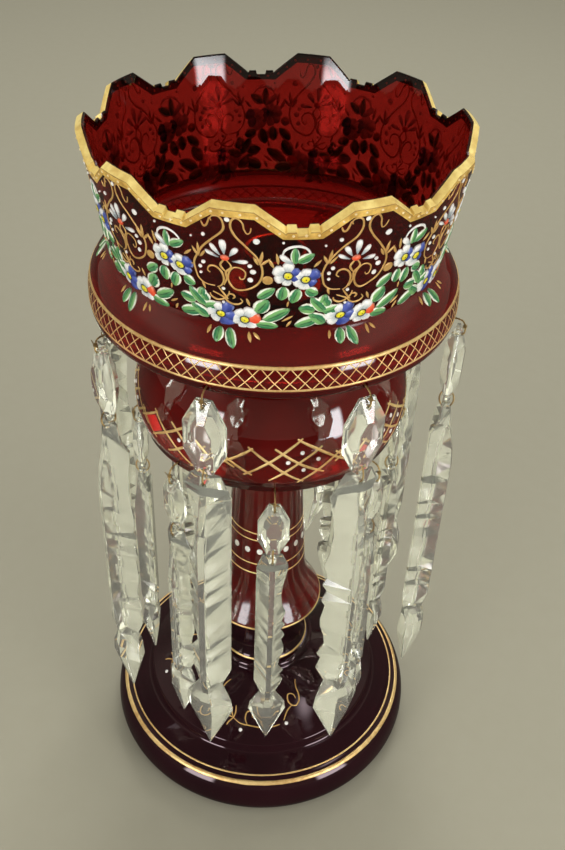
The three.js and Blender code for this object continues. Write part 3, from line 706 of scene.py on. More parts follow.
# The pedestal is blown ruby glass: a slim stem that flares to a skirt at its foot, and the round lower tier on top.
# The tier's lip is drilled for the inner row, and its neck takes the peg of the bowl.
PEDESTAL_SEAT = [(14.6, 83.3), (21.1, 83.3), (21.4, 88.3), (26, 89.4), (28.4, 87), (29.3, 86.4)]
STEM = [
    (30.4, 86.8), (29.9, 88.6), (28.3, 91.4), (26, 95.6), (24.1, 99.6), (22.5, 104), (21.4, 109), (20.6, 116.5),
    (19.5, 132), (18.4, 149.2), (17.6, 166), (17.3, 182), (17.5, 198), (18.9, 210), (21.8, 217.5), (26.3, 222.4),
]
TIER_UNDER = [(34, 225), (46.7, 226), (51.6, 224.6), (53.9, 221), (54.6, 215), (54.7, 211)]
TIER_LIP = [(55.6, 210), (57.5, 210)]
TIER_BELLY = [
    (58.4, 211), (58.9, 214), (60.4, 217.6), (61.4, 221.4), (61.7, 226), (61.3, 232), (59.6, 239.4), (56, 248.2),
    (50.4, 256.4), (43, 262), (35.2, 265.9), (31.6, 268.6), (31, 271.2),
]
TIER_MOUTH = [(30.6, 272), (24.1, 272), (24.1, 262.3)]
TIER_INSIDE = [
    (33, 262.3), (41, 258.9), (48, 253.6), (53, 246.4), (56.3, 237.6), (57.9, 231), (56, 229.8), (46, 229.9),
    (36, 229), (26.3, 226), (18, 219), (14.9, 206), (14.6, 196),
]
RUBY_DEEP = (0.25, 0.006, 0.005, 1)
RUBY_THIN = (0.36, 0.009, 0.007, 1)
STEM_DEEP = (0.17, 0.004, 0.003, 1)
STEM_THIN = (0.24, 0.006, 0.005, 1)
LIP_DEEP = (0.035, 0.002, 0.002, 1)
LIP_THIN = (0.07, 0.003, 0.003, 1)
TIER_LIP_ROWS = 9
INNER_ANGLES = [-41, 4, 51, 96, 142, 187, 232, 274]
INNER_LIP_HOLE = 212.3
INNER_DRILL_REACH = (50, 64)
LIP_DRILL = 2.6
DRILL_SIDES = 14

ruby_glass = glass(
    "ruby_glass", RUBY_DEEP, RUBY_THIN, 0.015, 0.07, transmission=0.82, ior=1.6, more={"Specular IOR Level": 0.78},
)
ruby_inside = glass("ruby_glass_inside", RUBY_DEEP, RUBY_THIN, 0.4, 0.6, transmission=0.82, ior=1.6)
ruby_stem = glass("ruby_stem_glass", STEM_DEEP, STEM_THIN, 0.1, 0.22, transmission=0.75, ior=1.5)
lip_glass = glass("ruby_lip_glass", LIP_DEEP, LIP_THIN, 0.02, 0.08, transmission=0.5, ior=1.55)
stem_line = smooth(STEM, 5)
tier_belly = smooth(TIER_BELLY, 5)


def drilled(body, angles, height, near, far, size=LIP_DRILL):
    """Drills holes that run straight in towards the axis, at some azimuths and one height."""
    shape = bmesh.new()
    for angle in angles:
        middle = Matrix.Translation((0, -(near + far) / 2 * MM, height * MM))
        lay = Matrix.Rotation(math.radians(angle), 4, "Z") @ middle
        bmesh.ops.create_cone(
            shape, cap_ends=True, segments=DRILL_SIDES, radius1=size / 2 * MM, radius2=size / 2 * MM,
            depth=(far - near) * MM, matrix=lay @ Matrix.Rotation(math.radians(90), 4, "X"),
        )
    drill = added("drill", bpy.data.meshes.new("drill"))
    shape.to_mesh(drill.data)
    shape.free()
    cut = body.modifiers.new("holes", "BOOLEAN")
    cut.object, cut.operation, cut.solver = drill, "DIFFERENCE", "EXACT"
    plain_mesh(body)
    bpy.data.objects.remove(drill)
    finish_mesh(body.data)


pedestal_parts = [  # each stretch of the outline, with its material
    (PEDESTAL_SEAT, 1), (stem_line, 2), (smooth(TIER_UNDER, 4), 0), (TIER_LIP, 3), (tier_belly[:TIER_LIP_ROWS], 3),
    (tier_belly[TIER_LIP_ROWS:], 0), (TIER_MOUTH, 1), (smooth(TIER_INSIDE, 4), 1),
]
pedestal = turned(
    "pedestal_glass", [place for part, _ in pedestal_parts for place in part],
    [ruby_glass, ruby_inside, ruby_stem, lip_glass], slots=[slot for part, slot in pedestal_parts for _ in part],
)
drilled(pedestal, INNER_ANGLES, INNER_LIP_HOLE, *INNER_DRILL_REACH)
handed(pedestal, "root", "ruby_glass", "pedestal")


# The stem carries gilt lines in pairs, white enamel ovals between them, and a gilt edge on the skirt.
# The tier carries crossed gilt strokes that leave lozenges: some dotted white, some filled with bright red.
STEM_RINGS = [(145.2, 0.4), (140.8, 0.4), (125.2, 0.4), (118.9, 0.45), (87.4, 0.6)]
STEM_DOTS = 18
STEM_DOT = (-7, 133.7, 3.2, 3.9, 0.5)  # azimuth, height, width, height of the dot, and how far it stands up
TIER_REPEATS = 8
TIER_STROKES = [
    [(-17.5, 226.4), (-11, 231.2), (-5, 235.8)], [(-8.6, 222.1), (-3, 226.4), (2.6, 230.6), (8.6, 235.4), (14.9, 240)],
    [(1.4, 219.6), (8, 224.8), (15, 230.2), (22, 235.4)], [(12.6, 217.4), (21, 224.2), (30, 231.3)],
    [(-17.2, 231.6), (-11.4, 226.6), (-5.5, 222.2)], [(-7, 236.2), (0, 230.2), (7, 224.4), (15, 217.8)],
    [(3.4, 236), (9.6, 231.2), (16.4, 226.2), (23, 222.2)], [(12.6, 239.9), (22, 233), (33, 225.2)],
]
TIER_STROKE_WIDTH = 1.3
TIER_DOTS = [(8.3, 229.5), (13.9, 233.6), (20.4, 229.6), (14.4, 225)]
RED_LOZENGES = 4
LOZENGE = [(-46.2, 229), (-51.4, 233.6), (-58, 229), (-52.6, 224)]
LOZENGE_GRID = 6
LOZENGE_LIFTS = (0.14, -0.16)
RED_LIGHT = (0.62, 0.006, 0.005, 1)
RED_SHADE = (0.44, 0.005, 0.004, 1)

stem_rings = [ring_stroke(stem_line, height, half, 96) for height, half in STEM_RINGS]
brushed("stem_gilt_lines", stem_rings, bright_gold, slot="brass", Flat=0.3)
dabbed(
    "stem_white_ovals", [dot(stem_line, *STEM_DOT)], white_enamel,
    copies=STEM_DOTS, Waver=0.05, Drift=0.0006,
)
brushed(
    "tier_gilt_strokes", [stroke(tier_belly, places, TIER_STROKE_WIDTH, taper=0.75) for places in TIER_STROKES],
    bright_gold, slot="brass", copies=TIER_REPEATS, Flat=0.16, Waver=0.035, Drift=0.0008, Seed=5.0,
)
dabbed(
    "tier_white_dots", [dot(tier_belly, *place, DOT_WIDTH) for place in TIER_DOTS], white_enamel,
    copies=TIER_REPEATS, Waver=0.03, Drift=0.0006,
)
red_enamel, _, red_shader = enamel("bright_red_enamel", RED_LIGHT, RED_SHADE)
red_shader.inputs["Coat Weight"].default_value = 0.15
lozenge_points, lozenge_faces = [], []
side = LOZENGE_GRID + 1
for turn in range(RED_LOZENGES):
    start = len(lozenge_points)
    for lift in LOZENGE_LIFTS:
        for i in range(side):
            for k in range(side):
                u, v = i / LOZENGE_GRID, k / LOZENGE_GRID
                shares = ((1 - u) * (1 - v), u * (1 - v), u * v, (1 - u) * v)
                azimuth, height = (sum(s * corner[axis] for s, corner in zip(shares, LOZENGE)) for axis in (0, 1))
                lozenge_points.append(tuple(spot(tier_belly, azimuth + 360 / RED_LOZENGES * turn, height, lift)[0]))
    for i in range(LOZENGE_GRID):
        for k in range(LOZENGE_GRID):
            a = start + i * side + k
            lozenge_faces.append((a, a + side, a + side + 1, a + 1))
            lozenge_faces.append(tuple(corner + side * side for corner in (a, a + 1, a + side + 1, a + side)))
    around = [(i, 0) for i in range(side)] + [(side - 1, k) for k in range(1, side)]
    around += [(i, side - 1) for i in range(side - 2, -1, -1)] + [(0, k) for k in range(side - 2, 0, -1)]
    ring = [start + i * side + k for i, k in around]
    lozenge_faces += [(a, b, b + side * side, a + side * side) for a, b in zip(ring, ring[1:] + ring[:1])]
lozenges = piece("tier_red_lozenges", lozenge_points, lozenge_faces, [red_enamel])
handed(lozenges, "root")


# The crown bowl is blown ruby glass. Its rim is cut to ten lobes, with two square teeth in each valley, and gilded.
# Its lower lip is drilled for the outer row, and a peg under its floor stands in the neck of the tier.
LOBE_TURN = -10
LOBES = 10
RIM_HEIGHT = 350
RIM_RADIUS = 77.2
LOBE_PITCH = 2 * math.pi * RIM_RADIUS / LOBES
RIM_CUT = [(0, 9), (1.95, 9), (2.4, 7.4), (5.55, 7.4), (6, 8.2), (6.9, 7.4), (16.75, 0), (30, 0)]
RIM_SWEEP = [(0, 7.4), (6.9, 7.4), (16.75, 0), (30, 0)]
GILT_BAND = 4.6
RIM_BEVEL_DROP = 1.7
RIM_BEVEL_DEPTH = 2.9
RIM_INNER_EDGE = 0.4
# Between the gilt band and the bevel, a thin line of darker gold is painted shade for the crease where the two meet.
EDGE_SHADE_WIDTH = 0.35
CROWN_WALL = 3.8
CROWN_UNDER = [
    (0, 274.9), (19.6, 274.9), (19.6, 259.3), (23.8, 259.3), (23.8, 272.3), (31, 272.3), (50, 274.2), (66, 276.6),
    (71.2, 278.2), (72.8, 277), (73.2, 274.4),
]
CROWN_LIP = [(73.9, 273.5), (76.2, 273.5)]
CROWN_LIP_ROWS = 9
CROWN_SHOULDER = [
    (77, 274.4), (77.5, 276.2), (77.7, 278.4), (77.6, 282.8), (76.9, 286.6), (75.7, 289.2), (73.8, 292.2),
    (71.6, 295), (69.9, 297), (68.6, 298.2),
]
CROWN_WALL_LINE = [(67.7, 299.2), (69.6, 310), (71.3, 320.9), (73.6, 333.2), (75.4, 342), (77.2, 350)]
CROWN_INSIDE = [(64.3, 297), (67.8, 294.2), (71, 290.6), (73, 286.4), (73.8, 283), (72.6, 280.2), (69.4, 279.3)]
CROWN_FLOOR = [(52, 278.8), (36.6, 278.4), (0, 278.4)]
VALLEY_COLUMNS = [0, 1.95, 2.4, 4, 5.55, 6, 6.9, 9.35, 11.8, 14.3, 16.75, 19, 21.6]
OUTER_ANGLES = [-57, -17, 28, 76, 121, 163, 211, 256]
OUTER_LIP_HOLE = 275.8
OUTER_DRILL_REACH = (69, 81)
CROWN_SHARP_EDGE = math.radians(18)
WALL_DEEP = (0.23, 0.009, 0.007, 1)
WALL_THIN = (0.31, 0.013, 0.010, 1)
# The back of the rim's gilding, seen from inside the bowl, is painted near black: painted shade for the gold's unlit
# underside.
GOLD_BACK_SHADE = (0.022, 0.008, 0.009, 1)
# The bevel's gold is paler and less metallic than the band's: painted light, for the light that the upward-facing bevel
# catches.
RIM_GOLDS = {  # bright and dull colour, size of the wear, metallic, bump
    "rim_gilding": ((0.94, 0.62, 0.155, 1), (0.48, 0.26, 0.045, 1), 230.0, 0.3, 0.3),
    "bevel_gilding": ((1.0, 0.79, 0.27, 1), (0.70, 0.46, 0.11, 1), 170.0, 0.15, 0.3),
    "worn_edge_gilding": ((0.60, 0.38, 0.11, 1), (0.26, 0.13, 0.04, 1), 300.0, 0.3, 0.12),
}


def table(pairs, at):
    """Reads a value from a list of (place, value) pairs."""
    for (x0, y0), (x1, y1) in zip(pairs, pairs[1:]):
        if at <= x1:
            return y0 + (y1 - y0) * (at - x0) / (x1 - x0)
    return pairs[-1][1]


def from_valley(azimuth):
    """How far an azimuth is from the middle of the nearest valley of the rim, in millimetres."""
    step = 360 / LOBES
    away = (azimuth - LOBE_TURN) % step - step / 2
    return abs(away) / step * LOBE_PITCH


def rim_top(azimuth):
    return RIM_HEIGHT - table(RIM_CUT, from_valley(azimuth))


def band_foot(azimuth):
    return RIM_HEIGHT - table(RIM_SWEEP, from_valley(azimuth)) - GILT_BAND


crown_shoulder = smooth(CROWN_SHOULDER, 5)
crown_wall = smooth(CROWN_WALL_LINE, 6)
wall_radius = [(z, r) for r, z in crown_wall]


def wall_row(share, inset=0.0):
    """A row of the wall between its foot and the gilded band, as a rule for the azimuth."""
    def rule(azimuth):
        height = crown_wall[0][1] + share * (band_foot(azimuth) - crown_wall[0][1])
        return table(wall_radius, height) - inset, height
    return rule


def rim_row(drop, inset):
    """A row of the rim, at some depth below its cut edge."""
    def rule(azimuth):
        height = rim_top(azimuth) - drop
        return table(wall_radius, height) - inset, height
    return rule


WALL_SHARES = [0, 0.12, 0.25, 0.38, 0.5, 0.62, 0.75, 0.88, 1]
rim_rows = [
    rim_row(RIM_BEVEL_DROP + EDGE_SHADE_WIDTH, 0), rim_row(RIM_BEVEL_DROP, 0.05), rim_row(0, RIM_BEVEL_DEPTH),
    rim_row(0, CROWN_WALL - RIM_INNER_EDGE), rim_row(RIM_INNER_EDGE, CROWN_WALL),
]
crown_rows = [
    *CROWN_UNDER, *CROWN_LIP, *crown_shoulder,
    *[wall_row(share) for share in WALL_SHARES],
    *rim_rows,
    *[wall_row(share, CROWN_WALL) for share in reversed(WALL_SHARES)],
    *smooth(CROWN_INSIDE, 3), *CROWN_FLOOR,
]
gilt_start = len(CROWN_UNDER) + len(CROWN_LIP) + len(crown_shoulder) + len(WALL_SHARES) - 1
wall_rows = range(gilt_start - len(WALL_SHARES) + 1, gilt_start + len(rim_rows) + len(WALL_SHARES))
# Of the gilt rows, slot 3 is the thin line of painted shade between band and bevel, and slot 4 is the bevel's gold with
# its painted light.
gilt_slots = {gilt_start: 1, gilt_start + 1: 3, gilt_start + 2: 4}
gilt_slots |= {len(CROWN_UNDER) + row: 5 for row in range(CROWN_LIP_ROWS)}
crown_slots = [gilt_slots.get(row, 2 if row in wall_rows else 0) for row in range(len(crown_rows))]
half_lobe = [place / LOBE_PITCH * 360 / LOBES for place in VALLEY_COLUMNS]
lobe_columns = [-a for a in reversed(half_lobe[1:])] + half_lobe + [180 / LOBES]
crown_azimuths = [LOBE_TURN + (lobe + 0.5) * 360 / LOBES + a for lobe in range(LOBES) for a in lobe_columns]

rim_gold, lit_bevel_gold, edge_shade_gold = [
    gilding(name, bright, dull, 0.9, size, metallic, bump, GOLD_BACK_SHADE)
    for name, (bright, dull, size, metallic, bump) in RIM_GOLDS.items()
]
wall_glass = glass("ruby_wall_glass", WALL_DEEP, WALL_THIN, 0.012, 0.06, ior=1.55)
crown = turned(
    "crown_glass", crown_rows, [ruby_glass, rim_gold, wall_glass, edge_shade_gold, lit_bevel_gold, lip_glass],
    crown_azimuths, crown_slots, CROWN_SHARP_EDGE,
)
drilled(crown, OUTER_ANGLES, OUTER_LIP_HOLE, *OUTER_DRILL_REACH)
handed(crown, "root", "ruby_glass", "crown_bowl")


# The bowl is painted outside in gold and raised enamels, one pattern to each lobe and one to each valley: a scrolled
# heart with a white palmette, and a garland of flowers and leaves below. A gilt lattice runs round the shoulder.
# Places are millimetres round the wall from the middle of the lobe or valley, and heights.
PAINT_RADIUS = 72.5
PAINT = {"copies": LOBES, "Waver": 0.03, "Drift": 0.001, "Seed": 9.0}
LATTICE_LINES = 88
LATTICE_FOOT, LATTICE_TOP = 278.2, 287.4
LATTICE_LEAN = 1.5
LATTICE_RINGS = [(LATTICE_TOP, 0.75), (LATTICE_FOOT, 0.55)]
HEART = [
    [(-10.2, 342.2), (-10, 341.4), (-9.4, 340.4), (-8.3, 341), (-7.6, 342.8), (-7.4, 344.2)],
    [(-6.6, 343), (-7, 344), (-6.2, 345), (-4.4, 345.1), (-3.2, 343.6), (-3, 340.6), (-4.7, 337.5), (-8.2, 334.5),
     (-11.4, 331.2), (-13.7, 327.7), (-15, 323.8), (-14.6, 320.4), (-13.3, 317.7), (-10.8, 315.8), (-7.7, 315.5)],
    [(5.8, 342.1), (5.7, 341), (5.2, 339.8), (4.2, 339.6), (3.3, 341.4), (3, 343.4), (1.8, 345.2), (0.4, 345.2),
     (-0.7, 343.4), (-0.6, 340.6), (1.2, 337.3), (4.3, 333.8), (7.4, 330), (9.2, 326.2), (9.2, 322.2), (7.8, 318.6),
     (4.6, 316), (1, 315), (-1.4, 316.4), (-2.7, 319.6), (-2.2, 322.6), (-0.5, 324.6), (1.9, 324.6), (3.6, 322.9),
     (3.2, 320.5), (1.9, 320), (1.4, 321)],
    [(-8.8, 321), (-9.8, 321.9), (-9, 323.7), (-7, 324.1), (-5, 322.4), (-4.2, 319), (-5.2, 316.3), (-6.8, 315.2)],
    [(-3.4, 328), (-5.1, 325), (-3.4, 322.2)],
    [(-3.4, 328), (-1.4, 324.8), (-3.4, 322.2), (-3.2, 319.4), (-4.4, 316.4)],
    [(-9.7, 312), (-9.4, 310.8), (-7.4, 309.7), (-4.9, 310.4), (-2.9, 312.2), (-2.4, 314)],
    [(-8.6, 312.9), (-6.4, 311.9), (-4.4, 310.9), (-3, 309.3), (-1, 308.5), (1.2, 308.7), (2.7, 310), (1.9, 311.2)],
    [(-6.4, 315), (-4.8, 312.7), (-3, 310.4)], [(-3, 312.6), (-1.2, 312.7), (-0.4, 311.6), (-1.2, 310.8)],
]
LOBE_GOLD_DABS = [
    (-13.2, 327, 118, 4.9, 1.2), (-13, 327, 88, 6.6, 1.4), (-12.8, 327, 52, 4.6, 1.1),
    (8.2, 326.6, 118, 4.4, 1.1), (8.4, 326.6, 80, 6.6, 1.4), (8.6, 326.6, 44, 5, 1.2),
    (4.2, 312, -72, 4, 1.2), (21.2, 304.8, -145, 4.8, 1.1), (20.9, 302.6, -118, 3.8, 1.1), (-9.8, 298.1, -98, 3.8, 1.5),
    (5, 297.7, -80, 4.2, 1.3), (6.6, 297.6, -50, 3.6, 1.2), (-19.2, 310.3, -50, 3.8, 1), (-18.6, 305.6, 170, 2.6, 1),
]
VALLEY_GOLD_DABS = [
    (-9.2, 325.6, 118, 5.2, 1.3), (-7.8, 327, 100, 5.6, 1.3), (4.2, 326.2, 48, 4.4, 1.2), (4.8, 322.6, 20, 3, 0.9),
    (10.6, 317, -76, 4, 1), (-3.4, 311.6, -100, 3, 0.9),
]
LOBE_DOTS = [
    (-10.1, 337, 1.7), (7.6, 336.7, 2.6), (-1.7, 344.4, 1.9), (-11.3, 325.2, 1.8), (-12.7, 323.1, 1.6),
    (-12.6, 320.5, 1.3),
    (5.1, 326.2, 1.8), (6.2, 323.7, 2.3), (5.3, 320.1, 2.1), (-4.7, 314.9, 1.5), (-5, 309, 1.3),
]
VALLEY_DOTS = [(-6.2, 336.6, 1.1), (7.6, 335.2, 0.9)]
VALLEY_DISC = (-11.6, 320.6)
DISC_SIZE = 4
PALMETTE = [
    (-3.2, 329.2, 91, 7.2, 2.8), (-4.4, 328.9, 126, 6.4, 2.0), (-5, 328.2, 154, 6, 1.6), (-1.9, 328.8, 52, 5.6, 2.3),
    (-1.2, 327.2, 6, 6, 1.9),
]
PALMETTE_HEART = (-3.3, 328.4, 3.4, 2.6)
LOBE_LEAVES = [
    (-12.2, 305.6, 127, 9, 3.6), (-11.4, 308, 105, 4.2, 3.2), (-11.6, 300.4, 142, 8, 4.3), (-5.9, 298.1, -94, 5.8, 3.6),
    (-2.6, 298.1, -72, 7.6, 3.4), (7.2, 300.6, -6, 8.2, 4.2), (10.2, 302.2, 32, 10.6, 4.3), (7.4, 305.6, 56, 7.6, 4.7),
    (8.1, 312.4, 40, 7.4, 3.6),
]
VALLEY_LEAVES = [
    (-5.5, 318.2, -94, 6.2, 4), (-0.4, 317.2, -104, 6.8, 4), (2.4, 316.4, -24, 5.2, 4), (9.2, 309.2, 76, 4.6, 3.4),
    (7, 307.2, 172, 6.4, 4.3), (-0.4, 300, 20, 9.6, 4.4), (9.8, 305.4, 20, 6.2, 4), (-1.4, 328.2, 34, 6.6, 3.2),
    (-1.9, 327.4, 93, 7.2, 2.7),
]
LEAF_SPREAD = 1.24
LEAF_STRETCH = 1.06
BUD_PETALS = [(-2.4, 327.2, 139, 6.9, 2.7)]
HOOD = [[(-6.4, 331.2), (-5.6, 333.4), (-3.6, 334.8), (-0.8, 335.2), (1.6, 334.2), (3, 332.2)]]
FLOWERS = [
    {"at": "lobe", "middle": (-6.2, 303.7), "reach": 6.1, "tint": "blue", "side": 78, "start": 172},
    {"at": "lobe", "middle": (3.4, 302.4), "reach": 5.6, "tint": "red", "side": 45, "start": 190},
    {"at": "valley", "middle": (-4.4, 323), "reach": 5.4, "tint": "blue", "side": 36, "start": 148},
    {"at": "valley", "middle": (2, 321.4), "reach": 5.3, "tint": "blue", "side": 50, "start": 205},
]
FLOWER_PETALS = 6
FLOWER_HEART = (3.3, 3.0, 0.5, 0.4)  # width, height, how far it stands up, and how high it is laid
FLOWER_PUPIL = (0.55, 0.55, 0.25, 0.78)
FLOWER_RING = (1.8, 1.62)
BAND_DOTS = [-3.1, 2.8, 8.4, 12.2, 16, 20.8, 25.2, 29.6, 33.6, 37.6, 41.4]
TWO_TONES = {  # rim, deep and pale colour, what parts the last two, where the rim starts, and the dark rib
    "petal_white": ((0.82, 0.80, 0.74, 1), (0.80, 0.78, 0.72, 1), (0.33, 0.38, 0.38, 1), "Near", 0.7, 0.0),
    "petal_blue": ((0.18, 0.22, 0.46, 1), (0.022, 0.038, 0.20, 1), (0.07, 0.10, 0.36, 1), "Shade", 0.95, 0.0),
    "petal_red": ((0.74, 0.26, 0.16, 1), (0.72, 0.06, 0.02, 1), (0.74, 0.13, 0.05, 1), "Shade", 0.92, 0.0),
    "leaf_green": ((0.84, 0.86, 0.68, 1), (0.010, 0.15, 0.055, 1), (0.17, 0.38, 0.12, 1), "Shade", 0.77, 0.8),
}
RIB_COLOUR = (0.02, 0.06, 0.03, 1)
ENAMELS = {  # light and shaded colour, and the size of the grain
    "cream_enamel": ((0.82, 0.66, 0.34, 1), (0.66, 0.46, 0.18, 1), 500.0),
    "yellow_enamel": ((0.72, 0.66, 0.02, 1), (0.58, 0.42, 0.01, 1), 900.0),
    "dark_line_enamel": ((0.018, 0.014, 0.01, 1), (0.035, 0.03, 0.02, 1), 500.0),
}
LATTICE_WIDTH, SCROLL_WIDTH, HOOD_WIDTH, FLOWER_RING_WIDTH = 0.48, 0.84, 1.15, 0.42
GOLD_RISE, PAINT_RISE, FLOWER_RISE, DOT_RISE = 0.25, 0.6, 0.62, 0.5

crown_skin = [*crown_shoulder, *crown_wall]


def on_wall(at, x, height):
    """An azimuth and a height for a place measured from the middle of a lobe or a valley."""
    middle = LOBE_TURN + (180 / LOBES if at == "valley" else 0)
    return middle + math.degrees(x / PAINT_RADIUS), height


def wall_strokes(at, lines, width):
    return [stroke(crown_skin, [on_wall(at, x, z) for x, z in line], width) for line in lines]


def wall_dabs(at, dabs, rise, lift=0.0):
    """Dabs given by where they start. Each is laid on the surface at its middle, so both ends stay close to it."""
    laid = []
    for x, z, along, length, width in dabs:
        steep = 0.7 if z < crown_wall[0][1] else 0.98
        x += math.cos(math.radians(along)) * length / 2
        z += math.sin(math.radians(along)) * length / 2 * steep
        laid.append(dab(crown_skin, *on_wall(at, x, z), along, length, width, rise, lift, back=0.5))
    return laid


def wall_dots(at, dots, rise):
    return [dot(crown_skin, *on_wall(at, x, z), *size, rise=rise) for x, z, *size in dots]


# A loaded brush leaves streaks along the dab and a pale edge round it. The dab's UV map says where a point lies in it.
dab_body, body_in, body_out = group(
    "dab_body", "ShaderNodeTree", {"Edge": ("Float", 0.85), "Rib": ("Float", 0.0)},
    {"Inside": "Float", "Shade": "Float", "Near": "Float", "Rib": "Float"},
)


def body_math(operation, *values):
    return number_math(dab_body, operation, *values)


body_place = node(dab_body, "ShaderNodeTexCoord").outputs["Object"]
body_uv = first(dab_body, "ShaderNodeUVMap", uv_map="UVMap")
body_place, body_uv = [node(dab_body, "ShaderNodeSeparateXYZ", {0: way}).outputs for way in (body_place, body_uv)]
body_streak = noise(dab_body, 1.0, 3.0, first(dab_body, "ShaderNodeCombineXYZ", {
    "X": body_math("MULTIPLY", body_uv["X"], 3.0), "Y": body_math("MULTIPLY", body_uv["Y"], 13.0),
    "Z": body_math("MULTIPLY", body_place["X"], 60.0),
}))
body_loose = body_math("MULTIPLY", body_math("SUBTRACT", body_streak, 0.5), 0.6)
body_across = body_math("ABSOLUTE", body_math("MULTIPLY_ADD", body_uv["Y"], 2.0, -1.0))
body_bulge = body_math("MULTIPLY", body_math("MULTIPLY", body_uv["X"], 4.0), body_math("SUBTRACT", 1.0, body_uv["X"]))
body_bulge = body_math("POWER", body_math("MAXIMUM", body_bulge, 0.03), 0.67)
body_edge = body_math("ADD", body_math("DIVIDE", body_across, body_bulge), body_loose)
body_line = body_math("ADD", body_across, body_math("MULTIPLY", body_loose, 0.4))
body_rib = body_math("MULTIPLY", body_math("LESS_THAN", body_line, 0.07), body_math("COMPARE", body_uv["X"], 0.5, 0.3))
feed(dab_body, body_out, {
    "Inside": ranged(dab_body, body_edge, body_in["Edge"], body_math("SUBTRACT", body_in["Edge"], 0.14)),
    "Shade": ranged(dab_body, body_math("ADD", body_uv["Y"], body_loose), 0.25, 0.72),
    "Near": ranged(dab_body, body_math("ADD", body_uv["X"], body_loose), 0.75, 0.3),
    "Rib": body_math("MULTIPLY", body_rib, body_in["Rib"]),
})


def two_tone(name, rim, deep, pale, ground, edge, rib):
    """Enamel of a brush loaded with two colours: a rim colour round the dab, and inside it a deep and a pale colour."""
    material, tree, surface = enamel(name, rim, tuple(value * 0.8 for value in rim[:3]) + (1,))
    body = node(tree, "ShaderNodeGroup", {"Edge": edge, "Rib": rib}, node_tree=dab_body).outputs
    colour = surface.inputs["Base Color"].links[0].from_socket
    colour = mixed(tree, body["Inside"], colour, mixed(tree, body[ground], deep, pale))
    feed(tree, surface, {"Base Color": mixed(tree, body["Rib"], colour, RIB_COLOUR)})
    return material


lean = LATTICE_LEAN * 360 / LATTICE_LINES
lattice = [
    stroke(crown_skin, [(0, LATTICE_FOOT), (way * lean, LATTICE_TOP)], LATTICE_WIDTH, 8, 1.0) for way in (-1, 1)
]
brushed("shoulder_lattice", lattice, bright_gold, slot="brass", copies=LATTICE_LINES, Flat=0.35, Waver=0.012)
lattice_rings = [ring_stroke(crown_skin, height, half, 180) for height, half in LATTICE_RINGS]
brushed("shoulder_gilt_lines", lattice_rings, bright_gold, slot="brass", Flat=0.22)
brushed("wall_gilt_scrolls", wall_strokes("lobe", HEART, SCROLL_WIDTH), scroll_gold, slot="brass", Flat=0.55, **PAINT)
brushed("wall_white_hoods", wall_strokes("valley", HOOD, HOOD_WIDTH), white_enamel, Flat=0.6, **PAINT)

BLADE_SHAPE = domed("blade_shape", oval(0.8, 0.9, 10), 2)
LEAF_SHAPE = domed("leaf_shape", oval(0.62, 0.72, 14), 3, crease=0.35)
PETAL_SHAPE = domed("petal_shape", oval(1.1, 0.42, 12), 2)
FLOWER_SHAPE = domed("flower_petal_shape", oval(0.75, 0.35, 12), 2)

blades = wall_dabs("lobe", LOBE_GOLD_DABS, GOLD_RISE) + wall_dabs("valley", VALLEY_GOLD_DABS, GOLD_RISE)
dabbed("wall_gold_blades", blades, scroll_gold, BLADE_SHAPE, slot="brass", **PAINT)
disc = dot(crown_skin, *on_wall("valley", *VALLEY_DISC), DISC_SIZE, DISC_SIZE, GOLD_RISE)
dabbed("wall_gold_discs", [disc], scroll_gold, slot="brass", **PAINT)
white_dots = wall_dots("lobe", LOBE_DOTS, DOT_RISE) + wall_dots("valley", VALLEY_DOTS, DOT_RISE)
dabbed("wall_white_dots", white_dots, white_enamel, **PAINT)
band_places = [LOBE_TURN + x / LOBE_PITCH * 360 / LOBES for x in BAND_DOTS]
band_dots = [dot(crown_skin, azimuth, band_foot(azimuth) + 1.5, 1.1, rise=0.4) for azimuth in band_places]
cream_enamel, yellow_enamel, dark_enamel = [enamel(name, *tones)[0] for name, tones in ENAMELS.items()]
dabbed("rim_cream_dots", band_dots, cream_enamel, copies=LOBES)

tones = {name: two_tone(name, *tone) for name, tone in TWO_TONES.items()}
petal_dabs = {"white": wall_dabs("valley", BUD_PETALS, PAINT_RISE), "blue": [], "red": []}
hearts, pupils, rings = [], [], []
for flower in FLOWERS:
    x, z = flower["middle"]
    for i in range(FLOWER_PETALS):
        along = flower["start"] + i * 360 / FLOWER_PETALS + random.uniform(-7, 7)
        side = abs((along + 180) % 360 - 180)
        tint = flower["tint"] if side < flower["side"] else "white"
        reach = flower["reach"] * random.uniform(0.86, 1.12)
        lay = (x, z, along, reach, reach * random.uniform(0.74, 0.95))
        petal_dabs[tint] += wall_dabs(flower["at"], [lay], FLOWER_RISE, random.uniform(0, 0.1))
    hearts.append(dot(crown_skin, *on_wall(flower["at"], x, z), *FLOWER_HEART))
    pupils.append(dot(crown_skin, *on_wall(flower["at"], x + 0.1, z - 0.1), *FLOWER_PUPIL))
    wide, tall = FLOWER_RING
    around = [(x + wide * math.cos(a), z + tall * math.sin(a)) for a in [math.pi * i / 8 for i in range(16)]]
    places = [on_wall(flower["at"], *place) for place in around]
    rings.append(stroke(crown_skin, places, FLOWER_RING_WIDTH, closed=True, lift=0.58))
for tint, dabs in petal_dabs.items():
    dabbed(f"wall_{tint}_petals", dabs, tones[f"petal_{tint}"], FLOWER_SHAPE, **PAINT)
dabbed("wall_palmettes", wall_dabs("lobe", PALMETTE, PAINT_RISE), tones["petal_white"], PETAL_SHAPE, **PAINT)
dabbed("wall_palmette_hearts", wall_dots("lobe", [PALMETTE_HEART], 0.7), tones["petal_red"], **PAINT)
leaf_dabs = []
